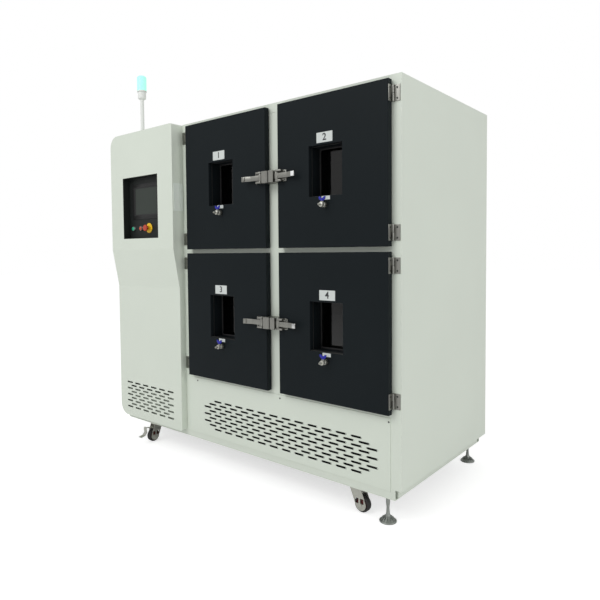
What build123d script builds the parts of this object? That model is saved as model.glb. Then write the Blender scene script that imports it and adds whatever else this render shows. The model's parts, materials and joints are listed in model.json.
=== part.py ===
from build123d import *
import os
from math import atan2, cos, degrees, pi

# Sample conditioning chamber, millimetres, +Z up, floor at Z = 0, doors facing -Y.
# Pieces are drawn with Y = 0 on the frame face and moved to the shared origin when written.

# Cabinet body, whose width and height follow from the column, the doors and their margins
BODY_DEPTH = 955.0
SHEET = 2.0
RETURN = 35.0
TOP_LIP = 46.0
TOP_SEAM = 1.0

# Base frame of rectangular tube
BASE_BOTTOM = 121.0
BASE_TUBE_HIGH = 46.0
BASE_TUBE_WIDE = 30.0
BASE_WALL = 3.0
BASE_INSET = 31.0
BASE_BACK_INSET = 10.0
GUSSET_THICK = 6.0
GUSSET_DEPTH = 80.0

# Control column, left of the doors
COLUMN_WIDTH = 615.0
COLUMN_REACH = 79.0
COLUMN_FOOT_REACH = 38.0
COLUMN_FOOT = 150.0
COLUMN_TUCK = 60.0
KINK_HIGH = 1208.0
KINK_LOW = 981.0
KINK_RADIUS = 40.0
COLUMN_OUTER_RADIUS = 70.0
COLUMN_INNER_RADIUS = 14.0
UPSTAND_TOP = 325.0
UPSTAND_BACK = 20.0

# Doors: two rows of two, hinged on their outer sides
DOOR_WIDTH = 604.0
DOOR_HEIGHT = 690.0
DOOR_MARGIN = 43.0
DOOR_START = 68.0
DOOR_HEAD = 22.0
MULLION = 81.0
ROW_GAP = 22.0
DOOR_FOOT = 493.0
DOOR_PROUD = 37.0
DOOR_GAP = 6.0
DOOR_EDGE_RADIUS = 4.0
DOOR_LAP = 34.0
PLUG_CLEAR = 12.0
PLUG_REACH = 60.0
GASKET_WIDE = 20.0
GASKET_INSET = 6.0
SOFT_CLEAR = 0.3

# Door windows
WINDOW_WIDTH = 185.0
WINDOW_HEIGHT = 231.0
WINDOW_SHIFT = -18.0
WINDOW_RISE = 3.0
GLASS_THICK = 6.0
GLASS_LAP = 10.0
GLASS_BACK = 4.0
GLASS_FIT = 0.2

# Chambers behind the doors
FRAME_DEPTH = 30.0
LINER_DEPTH = 600.0
LINER_FLANGE = 18.0
SHELF_RISE = 358.0
SHELF_BAR = 6.0
SHELF_BAR_COUNT = 5
SHELF_DEPTH = 500.0
SHELF_CLEAR = 3.0
RUNNER_WIDE = 16.0
BAFFLE_STAND = 40.0
BAFFLE_CLEAR = 22.0
BAFFLE_HOLE = 90.0

# Slotted grilles
SLOT_LENGTH = 54.0
SLOT_HEIGHT = 8.0
SLOT_PITCH_X = 82.3
SLOT_PITCH_Z = 19.6
PANEL_GRILLE_RISE = 281.0
PANEL_GRILLE_SHIFT = 7.5
COLUMN_GRILLE_RISE = 286.0
PANEL_ROWS = (12, 13, 14, 13, 14, 13, 14, 13, 12)
COLUMN_ROWS = (6, 5, 6, 5, 6, 5, 6, 5, 6)
REAR_ROWS = (4, 3, 4)
REAR_GRILLE_DROP = 150.0
LOWER_PANEL_THICK = 3.0
LOWER_PANEL_DROP = 9.0
LOWER_PANEL_LEFT = 12.0
LOWER_PANEL_RIGHT = 53.0
LOWER_PANEL_GAP = 19.0
LOWER_PANEL_LAP = 20.0
REAR_GAP = 0.6

# Operator panel in its recess
RECESS_LEFT = 128.0
RECESS_WIDTH = 349.0
RECESS_HEIGHT = 373.0
RECESS_FOOT = 1275.0
RECESS_DEPTH = 46.0
BEZEL_WIDTH = 284.0
BEZEL_HEIGHT = 214.0
BEZEL_THICK = 6.0
SCREEN_WIDTH = 211.0
SCREEN_HEIGHT = 158.0
SCREEN_SINK = 1.0
BEZEL_RISE = 120.0
BEZEL_SHIFT = 4.0
CONTROL_RISE = 63.0
CONTROL_PITCH = 77.0
STOP_FROM_RIGHT = 147.0
BUTTON_RADIUS = 11.3
BUSH_RADIUS = 14.5
BUSH_REACH = 10.0
BUTTON_PROUD = 4.0
BUTTON_TRAVEL = 3.0
STOP_DISC_RADIUS = 30.0
STOP_DISC_THICK = 3.0
STOP_COLLAR_RADIUS = 15.0
STOP_COLLAR_REACH = 12.0
STOP_STEM_RADIUS = 10.0
STOP_HEAD_RADIUS = 20.0
STOP_HEAD_THICK = 14.0
STOP_HEAD_CROP = 5.0
STOP_TRAVEL = 5.0
STOP_HEAD_GAP = 8.0
CONTROL_CLEAR = 0.3
END_CLEAR = 1.0

# Interface plate on the column's right side
PORT_PLATE_WIDTH = 64.0
PORT_PLATE_HEIGHT = 157.0
PORT_PLATE_THICK = 3.0
PORT_PLATE_FOOT = 1425.0
PORT_PLATE_BACK = 7.0
PORT_SLOT_WIDTH = 7.0
PORT_SLOT_HEIGHT = 22.0
PORT_SLOT_BACK = 25.0
PORT_SLOT_PITCH = 42.0
PORT_SLOT_DEEP = 2.0

# Signal tower on the column
TOWER_FROM_LEFT = 262.0
TOWER_FORWARD = 20.0
TOWER_BASE_RADIUS = 29.0
TOWER_BASE_HIGH = 9.0
TOWER_POLE_RADIUS = 11.0
TOWER_POLE_HIGH = 208.0
TOWER_COLLAR_RADIUS = 24.0
TOWER_COLLAR_HIGH = 41.0
TOWER_LENS_RADIUS = 28.5
TOWER_LENS_HIGH = 95.0
TOWER_LENS_CROP = 6.0

# Lift-off hinges, two to a door
HINGE_HIGH = 68.0
HINGE_INSET = 58.0
HINGE_LEAF = 3.0
HINGE_BARREL = 5.0
HINGE_PIN = 2.5
HINGE_PIN_CLEAR = 0.05
HINGE_PIN_LENGTH = 22.0
HINGE_PIN_END = 2.0
HINGE_SPLIT = 0.3
HINGE_DOOR_LEAF = 26.0
HINGE_FRAME_LEAF = 30.0
HINGE_COLUMN_CLEAR = 3.0

# Lever latches on the doors' free edges
LATCH_PIVOT_IN = 12.0
LATCH_PIVOT_RISE = 21.0
LATCH_BASE_IN = 6.0
LATCH_BASE_WIDE = 54.0
LATCH_BASE_HIGH = 54.0
LATCH_BASE_THICK = 6.0
LATCH_PAD_IN = 32.0
LATCH_EAR_THICK = 6.0
LATCH_EAR_RADIUS = 9.0
LATCH_PIN_RADIUS = 4.0
LATCH_PIN_CLEAR = 0.05
LATCH_HUB_RADIUS = 8.5
LATCH_HUB_HIGH = 37.0
LATCH_SIDE_CLEAR = 0.5
LATCH_ARM_HIGH = 25.0
LATCH_ARM_THICK = 6.0
LATCH_ARM_LENGTH = 128.0
LATCH_ARM_SWEEP = 12.0
LATCH_ARM_BEND = 109.0
LATCH_NOSE_GAP = 1.0
KEEPER_CLEAR = 3.0
KEEPER_WIDE = 35.0
KEEPER_HIGH = 57.0
KEEPER_LIP = 4.0
KEEPER_MOUTH = 12.0
KEEPER_MOUTH_DEEP = 16.0
KEEPER_CHAMFER = 6.0

# Sampling valves below the windows
VALVE_DROP = 41.0
VALVE_NUT_RADIUS = 14.0
VALVE_BODY_RADIUS = 12.0
VALVE_BODY_FROM = 12.0
VALVE_BODY_LENGTH = 24.0
VALVE_OUTLET_RADIUS = 5.0
VALVE_OUTLET_LENGTH = 17.0
VALVE_STEM_RADIUS = 3.0
VALVE_STEM_CLEAR = 0.05
VALVE_GLAND_RADIUS = 8.0
VALVE_GLAND_HIGH = 4.0
HANDLE_LENGTH = 46.0
HANDLE_WIDE = 13.0
HANDLE_WAIST = 8.0
HANDLE_THICK = 6.0
HANDLE_HUB_RADIUS = 8.0
HANDLE_HUB_HIGH = 9.0

# Casters and levelling feet
CASTER_SIDE_INSET = 250.5
CASTER_FRONT_Y = 50.0
CASTER_REAR_INSET = 75.0
CASTER_PLATE_X = 92.0
CASTER_PLATE_Y = 76.0
CASTER_PLATE_THICK = 4.0
CASTER_RACE_RADIUS = 22.0
CASTER_RACE_HIGH = 7.0
CASTER_TRAIL = 27.0
KINGPIN_RADIUS = 5.0
KINGPIN_CLEAR = 0.05
KINGPIN_HEAD_RADIUS = 10.0
KINGPIN_HEAD_HIGH = 4.0
FORK_TOP_THICK = 4.0
FORK_TOP_RADIUS = 30.0
FORK_LEG_THICK = 3.0
FORK_LEG_RADIUS = 27.0
FORK_CLEAR = 0.4
FORK_WINDOW_WIDE = 18.0
FORK_WINDOW_HIGH = 24.0
FORK_WINDOW_RISE = 16.0
FORK_RIB = 9.0
WHEEL_RADIUS = 37.5
WHEEL_WIDTH = 32.0
WHEEL_SIDE_CLEAR = 2.5
WHEEL_CROP = 5.0
AXLE_RADIUS = 5.0
AXLE_CLEAR = 0.05
AXLE_HEAD_RADIUS = 8.0
AXLE_HEAD_THICK = 3.0
FRONT_LEFT_ANGLE = -90.0
FRONT_RIGHT_ANGLE = 0.0
PEDAL_WIDE = 28.0
PEDAL_THICK = 3.0
PEDAL_PIVOT_U = 6.0
PEDAL_PIVOT_RISE = 48.5
PEDAL_BARREL = 4.5
PEDAL_PIN = 2.0
PEDAL_PIN_CLEAR = 0.05
PEDAL_PATH = ((32.0, 5.0), (48.0, 13.0), (54.0, 6.0), (50.0, -18.0), (64.0, -34.0), (92.0, -40.0))
FOOT_FROM_SIDE = 90.0
FOOT_FRONT_Y = 42.0
FOOT_PAD_RADIUS = 38.0
FOOT_PAD_RIM = 6.0
FOOT_CONE_TOP = 40.0
FOOT_NECK_RADIUS = 9.5
FOOT_STEM_RADIUS = 8.0
FOOT_STEM_CLEAR = 0.3
FOOT_EXTENSION = 30.0
NUT_RADIUS = 15.0
NUT_HIGH = 12.0

# Mains cable gland, low on the rear
GLAND_FROM_LEFT = 240.0
GLAND_RISE = 330.0
GLAND_RADIUS = 16.0
GLAND_NUT_THICK = 8.0
GLAND_CAP_RADIUS = 13.0
GLAND_REACH = 22.0
GLAND_BORE = 7.0
GLAND_BORE_DEEP = 12.0

# Turned pieces are prisms: small ones that repeat, larger ones, and hexagons
PIN_SIDE_COUNT = 10
BOSS_SIDE_COUNT = 20
ROUND_SIDE_COUNT = 28
HEX_SIDE_COUNT = 6

# Places worked out from the sizes above
BODY_WIDTH = COLUMN_WIDTH + DOOR_START + 2 * DOOR_WIDTH + MULLION + DOOR_MARGIN
BODY_TOP = DOOR_FOOT + 2 * DOOR_HEIGHT + ROW_GAP + DOOR_HEAD
LEFT = -BODY_WIDTH / 2
RIGHT = BODY_WIDTH / 2
COLUMN_SIDE = LEFT + COLUMN_WIDTH
BASE_TOP = BASE_BOTTOM + BASE_TUBE_HIGH
LIP_FOOT = BODY_TOP - TOP_LIP
DOOR_CENTRE_X = {
    "right": RIGHT - DOOR_MARGIN - DOOR_WIDTH / 2,
    "left": RIGHT - DOOR_MARGIN - DOOR_WIDTH * 3 / 2 - MULLION,
}
DOOR_FOOT_Z = {"lower": DOOR_FOOT, "upper": DOOR_FOOT + DOOR_HEIGHT + ROW_GAP}
HINGE_SIDE = {"left": -1, "right": 1}
DOORS = [(row, side) for row in ("upper", "lower") for side in ("left", "right")]
OPENING_WIDTH = DOOR_WIDTH - 2 * DOOR_LAP
OPENING_HEIGHT = DOOR_HEIGHT - 2 * DOOR_LAP
HINGE_OUT = HINGE_LEAF + HINGE_BARREL
VALVE_AXIS_REACH = DOOR_PROUD + VALVE_BODY_FROM + VALVE_BODY_LENGTH / 2
FRONT_REACH = DOOR_PROUD + VALVE_BODY_FROM + VALVE_BODY_LENGTH + VALVE_OUTLET_LENGTH
SHIFT = Pos(0, (FRONT_REACH - BODY_DEPTH - GLAND_REACH) / 2, 0)
MULLION_X = (DOOR_CENTRE_X["left"] + DOOR_CENTRE_X["right"]) / 2
RECESS_FLOOR = -COLUMN_REACH + RECESS_DEPTH
WHEEL_CENTRE_Z = WHEEL_RADIUS
CASTER_X = BODY_WIDTH / 2 - CASTER_SIDE_INSET
CASTER_REAR_Y = BODY_DEPTH - CASTER_REAR_INSET


def block(x0, x1, y0, y1, z0, z1):
    """Box between two corners, given in any order."""
    centre = ((x0 + x1) / 2, (y0 + y1) / 2, (z0 + z1) / 2)
    return Pos(*centre) * Box(abs(x1 - x0), abs(y1 - y0), abs(z1 - z0))


def round_y(radius, x, z, y0, y1):
    """Round bar that runs front to back."""
    return Pos(x, (y0 + y1) / 2, z) * Rot(X=90) * Cylinder(radius, y1 - y0)


def turned_z(radius, x, y, z0, z1, sides=PIN_SIDE_COUNT):
    """Upright prism whose corners lie on the radius, for a pin or a boss."""
    return extrude(Pos(x, y, z0) * RegularPolygon(radius, sides), z1 - z0)


def turned_y(radius, x, z, y0, y1, sides=PIN_SIDE_COUNT):
    """The same prism, front to back."""
    return front_prism(Pos(x, z) * RegularPolygon(radius, sides), y0, y1)


def bore_z(radius, x, y, z0, z1):
    """Upright hole whose flats lie on the radius, so that a pin of that radius turns in it."""
    return extrude(Pos(x, y, z0) * RegularPolygon(radius, PIN_SIDE_COUNT, major_radius=False), z1 - z0)


def bore_y(radius, x, z, y0, y1):
    """The same hole, front to back."""
    return front_prism(Pos(x, z) * RegularPolygon(radius, PIN_SIDE_COUNT, major_radius=False), y0, y1)


def front_prism(sketch, y0, y1):
    """A sketch in X and Z, thick from y0 to y1."""
    plane = Plane(origin=(0, y1, 0), x_dir=(1, 0, 0), z_dir=(0, -1, 0))
    return extrude(plane * sketch, y1 - y0)


def side_prism(sketch, x0, x1):
    """A sketch in Y and Z, thick from x0 to x1."""
    return extrude(Plane.YZ.offset(x0) * sketch, x1 - x0)


def tapered(levels):
    """Upright body of many sides through pairs of radius and height, with a step where heights repeat."""
    body = Part()
    for (low, z0), (high, z1) in zip(levels, levels[1:]):
        if z1 > z0:
            inward = (low - high) * cos(pi / ROUND_SIDE_COUNT)
            face = Pos(0, 0, z0) * RegularPolygon(low, ROUND_SIDE_COUNT)
            body += extrude(face, z1 - z0, taper=degrees(atan2(inward, z1 - z0)))
    return body


def tapered_y(levels, x, y, z):
    """The same body laid down, with its heights counted forwards from y."""
    return Pos(x, y, z) * Rot(X=90) * tapered(levels)


def slots(rows, x, z):
    """Sketch of a staggered slot pattern whose rows are each centred on x."""
    places = []
    for index, count in enumerate(rows):
        level = z + ((len(rows) - 1) / 2 - index) * SLOT_PITCH_Z
        places += [(x + (i - (count - 1) / 2) * SLOT_PITCH_X, level) for i in range(count)]
    return Sketch() + [Pos(u, v) * Rectangle(SLOT_LENGTH, SLOT_HEIGHT) for u, v in places]


def opening_box(row, side, grow, y0, y1):
    """Chamber opening behind a door, grown outwards by a margin."""
    centre, foot = DOOR_CENTRE_X[side], DOOR_FOOT_Z[row] + DOOR_LAP
    half = OPENING_WIDTH / 2 + grow
    return block(centre - half, centre + half, y0, y1, foot - grow, foot + OPENING_HEIGHT + grow)


def base_frame():
    """Ring and cross tubes, each a piece of hollow rectangular tube, with corner plates."""
    x0, x1 = LEFT + BASE_INSET, RIGHT - BASE_INSET
    back = BODY_DEPTH - BASE_BACK_INSET
    wide, wall = BASE_TUBE_WIDE, BASE_WALL
    tubes = []
    for y in (0, back - wide):
        tubes.append(
            block(x0, x1, y, y + wide, BASE_BOTTOM, BASE_TOP)
            - block(x0 - 1, x1 + 1, y + wall, y + wide - wall, BASE_BOTTOM + wall, BASE_TOP - wall)
        )
    for x in (x0, COLUMN_SIDE, x1 - wide):
        tubes.append(
            block(x, x + wide, wide, back - wide, BASE_BOTTOM, BASE_TOP)
            - block(x + wall, x + wide - wall, 0, back, BASE_BOTTOM + wall, BASE_TOP - wall)
        )
    stem = FOOT_STEM_RADIUS + FOOT_STEM_CLEAR
    tubes[1] -= bore_z(stem, RIGHT - FOOT_FROM_SIDE, back - wide / 2, 0, BASE_BOTTOM + 2 * wall)
    plates = []
    reach = CASTER_X + CASTER_PLATE_X / 2
    for y0, y1 in ((wide, wide + GUSSET_DEPTH), (back - wide - GUSSET_DEPTH, back - wide)):
        for a, b in ((x0 + wide, -reach + CASTER_PLATE_X), (reach - CASTER_PLATE_X, x1 - wide)):
            plates.append(block(a, b, y0, y1, BASE_BOTTOM, BASE_BOTTOM + GUSSET_THICK))
    plates[1] -= bore_z(stem, RIGHT - FOOT_FROM_SIDE, FOOT_FRONT_Y, 0, BASE_TOP)
    return tubes + plates


def side_panels():
    """Flat side sheets with returned edges; the left one starts behind the column."""
    panels = []
    for side, front in ((-1, COLUMN_TUCK), (1, 0)):
        outer = side * BODY_WIDTH / 2
        inner, edge = outer - side * SHEET, outer - side * (SHEET + RETURN)
        back = BODY_DEPTH - SHEET
        start = max(front, FRAME_DEPTH) + SHEET
        panel = block(outer, inner, front, BODY_DEPTH, BASE_TOP, BODY_TOP)
        panel += block(inner, edge, start, back, BASE_TOP, BASE_TOP + SHEET)
        panel += block(inner, edge, start, back, BODY_TOP - 2 * SHEET, BODY_TOP - SHEET)
        panel += block(inner, edge, back - SHEET, back, BASE_TOP, BODY_TOP - SHEET)
        panels.append(panel)
    return panels


def top_cover():
    """Top sheet between the side sheets, with front and rear lips, notched for the column."""
    x0, x1 = LEFT + SHEET, RIGHT - SHEET
    cover = block(x0, x1, 0, BODY_DEPTH, BODY_TOP - SHEET, BODY_TOP)
    cover += block(x0, x1, 0, SHEET, LIP_FOOT, BODY_TOP)
    cover += block(x0, x1, BODY_DEPTH - SHEET, BODY_DEPTH, LIP_FOOT, BODY_TOP)
    return cover - block(LEFT, COLUMN_SIDE, -1, COLUMN_TUCK, LIP_FOOT - 1, BODY_TOP + 1)


def rear_panels():
    """Two removable rear panels with a small slotted vent each."""
    y0, y1 = BODY_DEPTH - SHEET, BODY_DEPTH
    split = COLUMN_SIDE + BASE_TUBE_WIDE / 2
    panels = []
    for x0, x1 in ((LEFT + SHEET, split - REAR_GAP), (split, RIGHT - SHEET)):
        panel = block(x0, x1, y0, y1, BASE_TOP, LIP_FOOT)
        vents = slots(REAR_ROWS, (x0 + x1) / 2, LIP_FOOT - REAR_GRILLE_DROP)
        panels.append(panel - front_prism(vents, y0 - 1, y1 + 1))
    return panels


def face_frame():
    """Folded front sheet round the four chamber openings and the plant opening."""
    x0, x1, z0, z1 = COLUMN_SIDE, RIGHT - SHEET, BASE_TOP, LIP_FOOT
    frame = block(x0, x1, 0, FRAME_DEPTH, z0, z1 - TOP_SEAM)
    frame -= block(x0 + SHEET, x1 - SHEET, SHEET, FRAME_DEPTH + 1, z0 + SHEET, z1 - TOP_SEAM - SHEET)
    for row, side in DOORS:
        frame += opening_box(row, side, SHEET, 0, FRAME_DEPTH)
        frame -= opening_box(row, side, 0, -1, FRAME_DEPTH + 1)
    lap = LOWER_PANEL_LAP
    frame -= block(x0 + LOWER_PANEL_LEFT + lap, RIGHT - LOWER_PANEL_RIGHT - lap, -1, SHEET + 1,
                   BASE_TOP + lap, DOOR_FOOT - LOWER_PANEL_GAP - lap)
    return frame


def lower_grille_panel():
    """Removable lower panel with the wide staggered grille."""
    panel = block(COLUMN_SIDE + LOWER_PANEL_LEFT, RIGHT - LOWER_PANEL_RIGHT, -LOWER_PANEL_THICK, 0,
                  BASE_TOP - LOWER_PANEL_DROP, DOOR_FOOT - LOWER_PANEL_GAP)
    pattern = slots(PANEL_ROWS, MULLION_X + PANEL_GRILLE_SHIFT, PANEL_GRILLE_RISE)
    return panel - front_prism(pattern, -LOWER_PANEL_THICK - 1, 1)


def column_form(inset):
    """Outer form of the column, or the same form drawn in by a sheet's thickness."""
    front, foot, top = -COLUMN_REACH + inset, COLUMN_FOOT + inset, BODY_TOP - inset
    lower = -COLUMN_FOOT_REACH + inset
    back = COLUMN_TUCK + inset
    side = Polyline((front, top), (front, KINK_HIGH), (lower, KINK_LOW), (lower, foot), (-inset, foot),
                    (-inset, BASE_TOP + inset), (back, BASE_TOP + inset), (back, top), close=True)
    profile = make_face(side)
    kinks = [v for v in profile.vertices() if v.Y in (KINK_HIGH, KINK_LOW)]
    profile = fillet(kinks, KINK_RADIUS)
    x0, x1 = LEFT + inset, COLUMN_SIDE - inset
    face = Pos((x0 + x1) / 2, (foot + top) / 2) * Rectangle(x1 - x0, top - foot)
    face = fillet(face.vertices().sort_by(Axis.X)[:2], COLUMN_OUTER_RADIUS - inset)
    face = fillet(face.vertices().sort_by(Axis.X)[-2:], COLUMN_INNER_RADIUS - inset)
    return side_prism(profile, x0, x1) & front_prism(face, -BODY_DEPTH, BODY_DEPTH)


def control_column():
    """Folded shell that tucks back below its kink, with an upstand behind its lower slots."""
    outer = column_form(0)
    shell = outer - column_form(SHEET)
    back = -COLUMN_FOOT_REACH + UPSTAND_BACK
    shell += outer & block(LEFT, COLUMN_SIDE, back, back + SHEET, COLUMN_FOOT, UPSTAND_TOP)
    x0 = LEFT + RECESS_LEFT
    shell -= block(x0, x0 + RECESS_WIDTH, -COLUMN_REACH - 1, -COLUMN_REACH + SHEET + 1,
                   RECESS_FOOT, RECESS_FOOT + RECESS_HEIGHT)
    grille = slots(COLUMN_ROWS, (LEFT + COLUMN_SIDE) / 2, COLUMN_GRILLE_RISE)
    return shell - front_prism(grille, -COLUMN_FOOT_REACH - 1, -COLUMN_FOOT_REACH + SHEET + 1)


def chamber_liners():
    """Four stainless boxes, open to the front, with a flange and two shelf runners each."""
    liners = []
    for row, side in DOORS:
        y0 = FRAME_DEPTH
        liner = opening_box(row, side, SHEET, y0, y0 + LINER_DEPTH)
        liner += opening_box(row, side, SHEET + LINER_FLANGE, y0, y0 + SHEET)
        liner -= opening_box(row, side, 0, y0 - 1, y0 + LINER_DEPTH - SHEET)
        centre = DOOR_CENTRE_X[side]
        shelf = DOOR_FOOT_Z[row] + DOOR_LAP + SHELF_RISE
        for s in (-1, 1):
            wall = centre + s * OPENING_WIDTH / 2
            liner += block(wall, wall - s * RUNNER_WIDE, *shelf_span(), shelf - SHEET, shelf)
        liners.append(liner)
    return liners


def shelf_span():
    """Front and back of a shelf, clear of the door plug and of the baffle."""
    back = FRAME_DEPTH + LINER_DEPTH - SHEET - BAFFLE_STAND - SHELF_CLEAR
    return back - SHELF_DEPTH, back


def sample_shelves():
    """Bar shelves, each a square rim with bars from front to back, one in each chamber."""
    shelves = []
    y0, y1 = shelf_span()
    bar = SHELF_BAR
    for row, side in DOORS:
        half = OPENING_WIDTH / 2 - SHELF_CLEAR
        x, z = DOOR_CENTRE_X[side], DOOR_FOOT_Z[row] + DOOR_LAP + SHELF_RISE
        shelf = block(x - half, x + half, y0, y1, z, z + bar)
        shelf -= block(x - half + bar, x + half - bar, y0 + bar, y1 - bar, z - 1, z + bar + 1)
        step = (2 * half - bar) / (SHELF_BAR_COUNT + 1)
        for i in range(SHELF_BAR_COUNT):
            left = x - half + (i + 1) * step
            shelf += block(left, left + bar, y0 + bar / 2, y1 - bar / 2, z, z + bar)
        shelves.append(shelf)
    return shelves


def air_baffles():
    """Return-air baffle in front of each liner's rear wall, with its fan intake."""
    baffles = []
    y1 = FRAME_DEPTH + LINER_DEPTH - SHEET
    y0 = y1 - BAFFLE_STAND
    for row, side in DOORS:
        x = DOOR_CENTRE_X[side]
        z = DOOR_FOOT_Z[row] + DOOR_HEIGHT / 2
        baffle = opening_box(row, side, -BAFFLE_CLEAR, y0, y1)
        baffle -= opening_box(row, side, -BAFFLE_CLEAR - SHEET, y0 + SHEET, y1 + 1)
        baffles.append(baffle - bore_y(BAFFLE_HOLE, x, z, y0 - 1, y0 + SHEET + 1))
    return baffles


def door_gaskets():
    """Seals on the frame face round each opening."""
    rings = []
    for row, side in DOORS:
        front = -DOOR_GAP + SOFT_CLEAR
        ring = opening_box(row, side, GASKET_INSET + GASKET_WIDE, front, 0)
        rings.append(ring - opening_box(row, side, GASKET_INSET, front - 1, 1))
    return rings


def control_panel():
    """Black pan that lines the recess in the column."""
    x0, x1 = LEFT + RECESS_LEFT, LEFT + RECESS_LEFT + RECESS_WIDTH
    z0, z1 = RECESS_FOOT, RECESS_FOOT + RECESS_HEIGHT
    pan = block(x0, x1, -COLUMN_REACH, RECESS_FLOOR + SHEET, z0, z1)
    return pan - block(x0 + SHEET, x1 - SHEET, -COLUMN_REACH - 1, RECESS_FLOOR,
                       z0 + SHEET, z1 - SHEET)


def screen_centre():
    """Centre of the operator screen in X and Z."""
    x = LEFT + RECESS_LEFT + RECESS_WIDTH / 2 + BEZEL_SHIFT
    return x, RECESS_FOOT + BEZEL_RISE + BEZEL_HEIGHT / 2


def hmi_bezel():
    """Frame of the operator screen."""
    frame = Rectangle(BEZEL_WIDTH, BEZEL_HEIGHT) - Rectangle(SCREEN_WIDTH, SCREEN_HEIGHT)
    return front_prism(Pos(*screen_centre()) * frame, RECESS_FLOOR - BEZEL_THICK, RECESS_FLOOR)


def hmi_screen():
    """Touch screen, a little below its bezel's face."""
    glass = Pos(*screen_centre()) * Rectangle(SCREEN_WIDTH, SCREEN_HEIGHT)
    return front_prism(glass, RECESS_FLOOR - BEZEL_THICK + SCREEN_SINK, RECESS_FLOOR)


def control_place(index):
    """X and Z of a control, counted leftwards from the emergency stop."""
    stop_x = LEFT + RECESS_LEFT + RECESS_WIDTH - STOP_FROM_RIGHT
    return stop_x - index * CONTROL_PITCH, RECESS_FOOT + CONTROL_RISE


def ring_y(outer, inner, place, y0, y1):
    """Ring that faces the front, round what moves in it."""
    hole = RegularPolygon(inner, BOSS_SIDE_COUNT, major_radius=False)
    return front_prism(Pos(*place) * (RegularPolygon(outer, BOSS_SIDE_COUNT) - hole), y0, y1)


def button_bushes():
    """Bright collars of the two pushbuttons."""
    inner = BUTTON_RADIUS + CONTROL_CLEAR
    return [
        ring_y(BUSH_RADIUS, inner, control_place(i), RECESS_FLOOR - BUSH_REACH, RECESS_FLOOR)
        for i in (1, 2)
    ]


def push_button(index):
    """Cap of one pushbutton, held off the panel by its travel."""
    x, z = control_place(index)
    front = RECESS_FLOOR - BUSH_REACH - BUTTON_PROUD
    back = RECESS_FLOOR - BUTTON_TRAVEL - END_CLEAR
    return turned_y(BUTTON_RADIUS, x, z, front, back, BOSS_SIDE_COUNT)


def stop_plate():
    """Disc and collar behind the emergency stop."""
    place = control_place(0)
    front = RECESS_FLOOR - STOP_DISC_THICK
    plate = turned_y(STOP_DISC_RADIUS, *place, front, RECESS_FLOOR, ROUND_SIDE_COUNT)
    inner = STOP_STEM_RADIUS + CONTROL_CLEAR
    return plate + ring_y(STOP_COLLAR_RADIUS, inner, place, front - STOP_COLLAR_REACH, front)


def emergency_stop():
    """Mushroom head and stem of the emergency stop."""
    x, z = control_place(0)
    disc = RECESS_FLOOR - STOP_DISC_THICK
    head = disc - STOP_COLLAR_REACH - STOP_HEAD_GAP
    stem = turned_y(STOP_STEM_RADIUS, x, z, head, disc - STOP_TRAVEL - END_CLEAR)
    crop = STOP_HEAD_THICK - STOP_HEAD_CROP
    rims = [(STOP_HEAD_RADIUS, 0), (STOP_HEAD_RADIUS, crop),
            (STOP_HEAD_RADIUS - STOP_HEAD_CROP, STOP_HEAD_THICK)]
    return stem + tapered_y(rims, x, head, z)


def interface_plate():
    """Small raised plate with three upright ports on the column's right side."""
    x0, x1 = COLUMN_SIDE, COLUMN_SIDE + PORT_PLATE_THICK
    y1 = -PORT_PLATE_BACK
    z0, z1 = PORT_PLATE_FOOT, PORT_PLATE_FOOT + PORT_PLATE_HEIGHT
    plate = block(x0, x1, y1 - PORT_PLATE_WIDTH, y1, z0, z1)
    for i in (-1, 0, 1):
        z = (z0 + z1) / 2 + i * PORT_SLOT_PITCH
        plate -= block(x1 - PORT_SLOT_DEEP, x1 + 1, -PORT_SLOT_BACK - PORT_SLOT_WIDTH, -PORT_SLOT_BACK,
                       z - PORT_SLOT_HEIGHT / 2, z + PORT_SLOT_HEIGHT / 2)
    return plate


def tower_place():
    """Centre line of the signal tower."""
    return LEFT + TOWER_FROM_LEFT, -TOWER_FORWARD


def tower_stem():
    """Foot, pole and collar of the signal tower, in one piece."""
    top = TOWER_POLE_HIGH + TOWER_COLLAR_HIGH
    levels = [(TOWER_BASE_RADIUS, 0), (TOWER_BASE_RADIUS, TOWER_BASE_HIGH),
              (TOWER_POLE_RADIUS, TOWER_BASE_HIGH), (TOWER_POLE_RADIUS, TOWER_POLE_HIGH),
              (TOWER_COLLAR_RADIUS, TOWER_POLE_HIGH), (TOWER_COLLAR_RADIUS, top)]
    return Pos(*tower_place(), BODY_TOP) * tapered(levels)


def tower_lens():
    """Lens of the signal tower, cropped at its top edge."""
    foot = BODY_TOP + TOWER_POLE_HIGH + TOWER_COLLAR_HIGH
    levels = [(TOWER_LENS_RADIUS, 0), (TOWER_LENS_RADIUS, TOWER_LENS_HIGH - TOWER_LENS_CROP),
              (TOWER_LENS_RADIUS - TOWER_LENS_CROP, TOWER_LENS_HIGH)]
    return Pos(*tower_place(), foot) * tapered(levels)


def window_box(row, side, grow, y0, y1):
    """Window well of a door, grown outwards by a margin."""
    x = DOOR_CENTRE_X[side] + WINDOW_SHIFT
    z = DOOR_FOOT_Z[row] + DOOR_HEIGHT / 2 + WINDOW_RISE
    half_x, half_z = WINDOW_WIDTH / 2 + grow, WINDOW_HEIGHT / 2 + grow
    return block(x - half_x, x + half_x, y0, y1, z - half_z, z + half_z)


def glass_front():
    """Y of the pane's front face, on the shoulder of its rebate."""
    return PLUG_REACH - GLASS_BACK - GLASS_THICK


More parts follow.
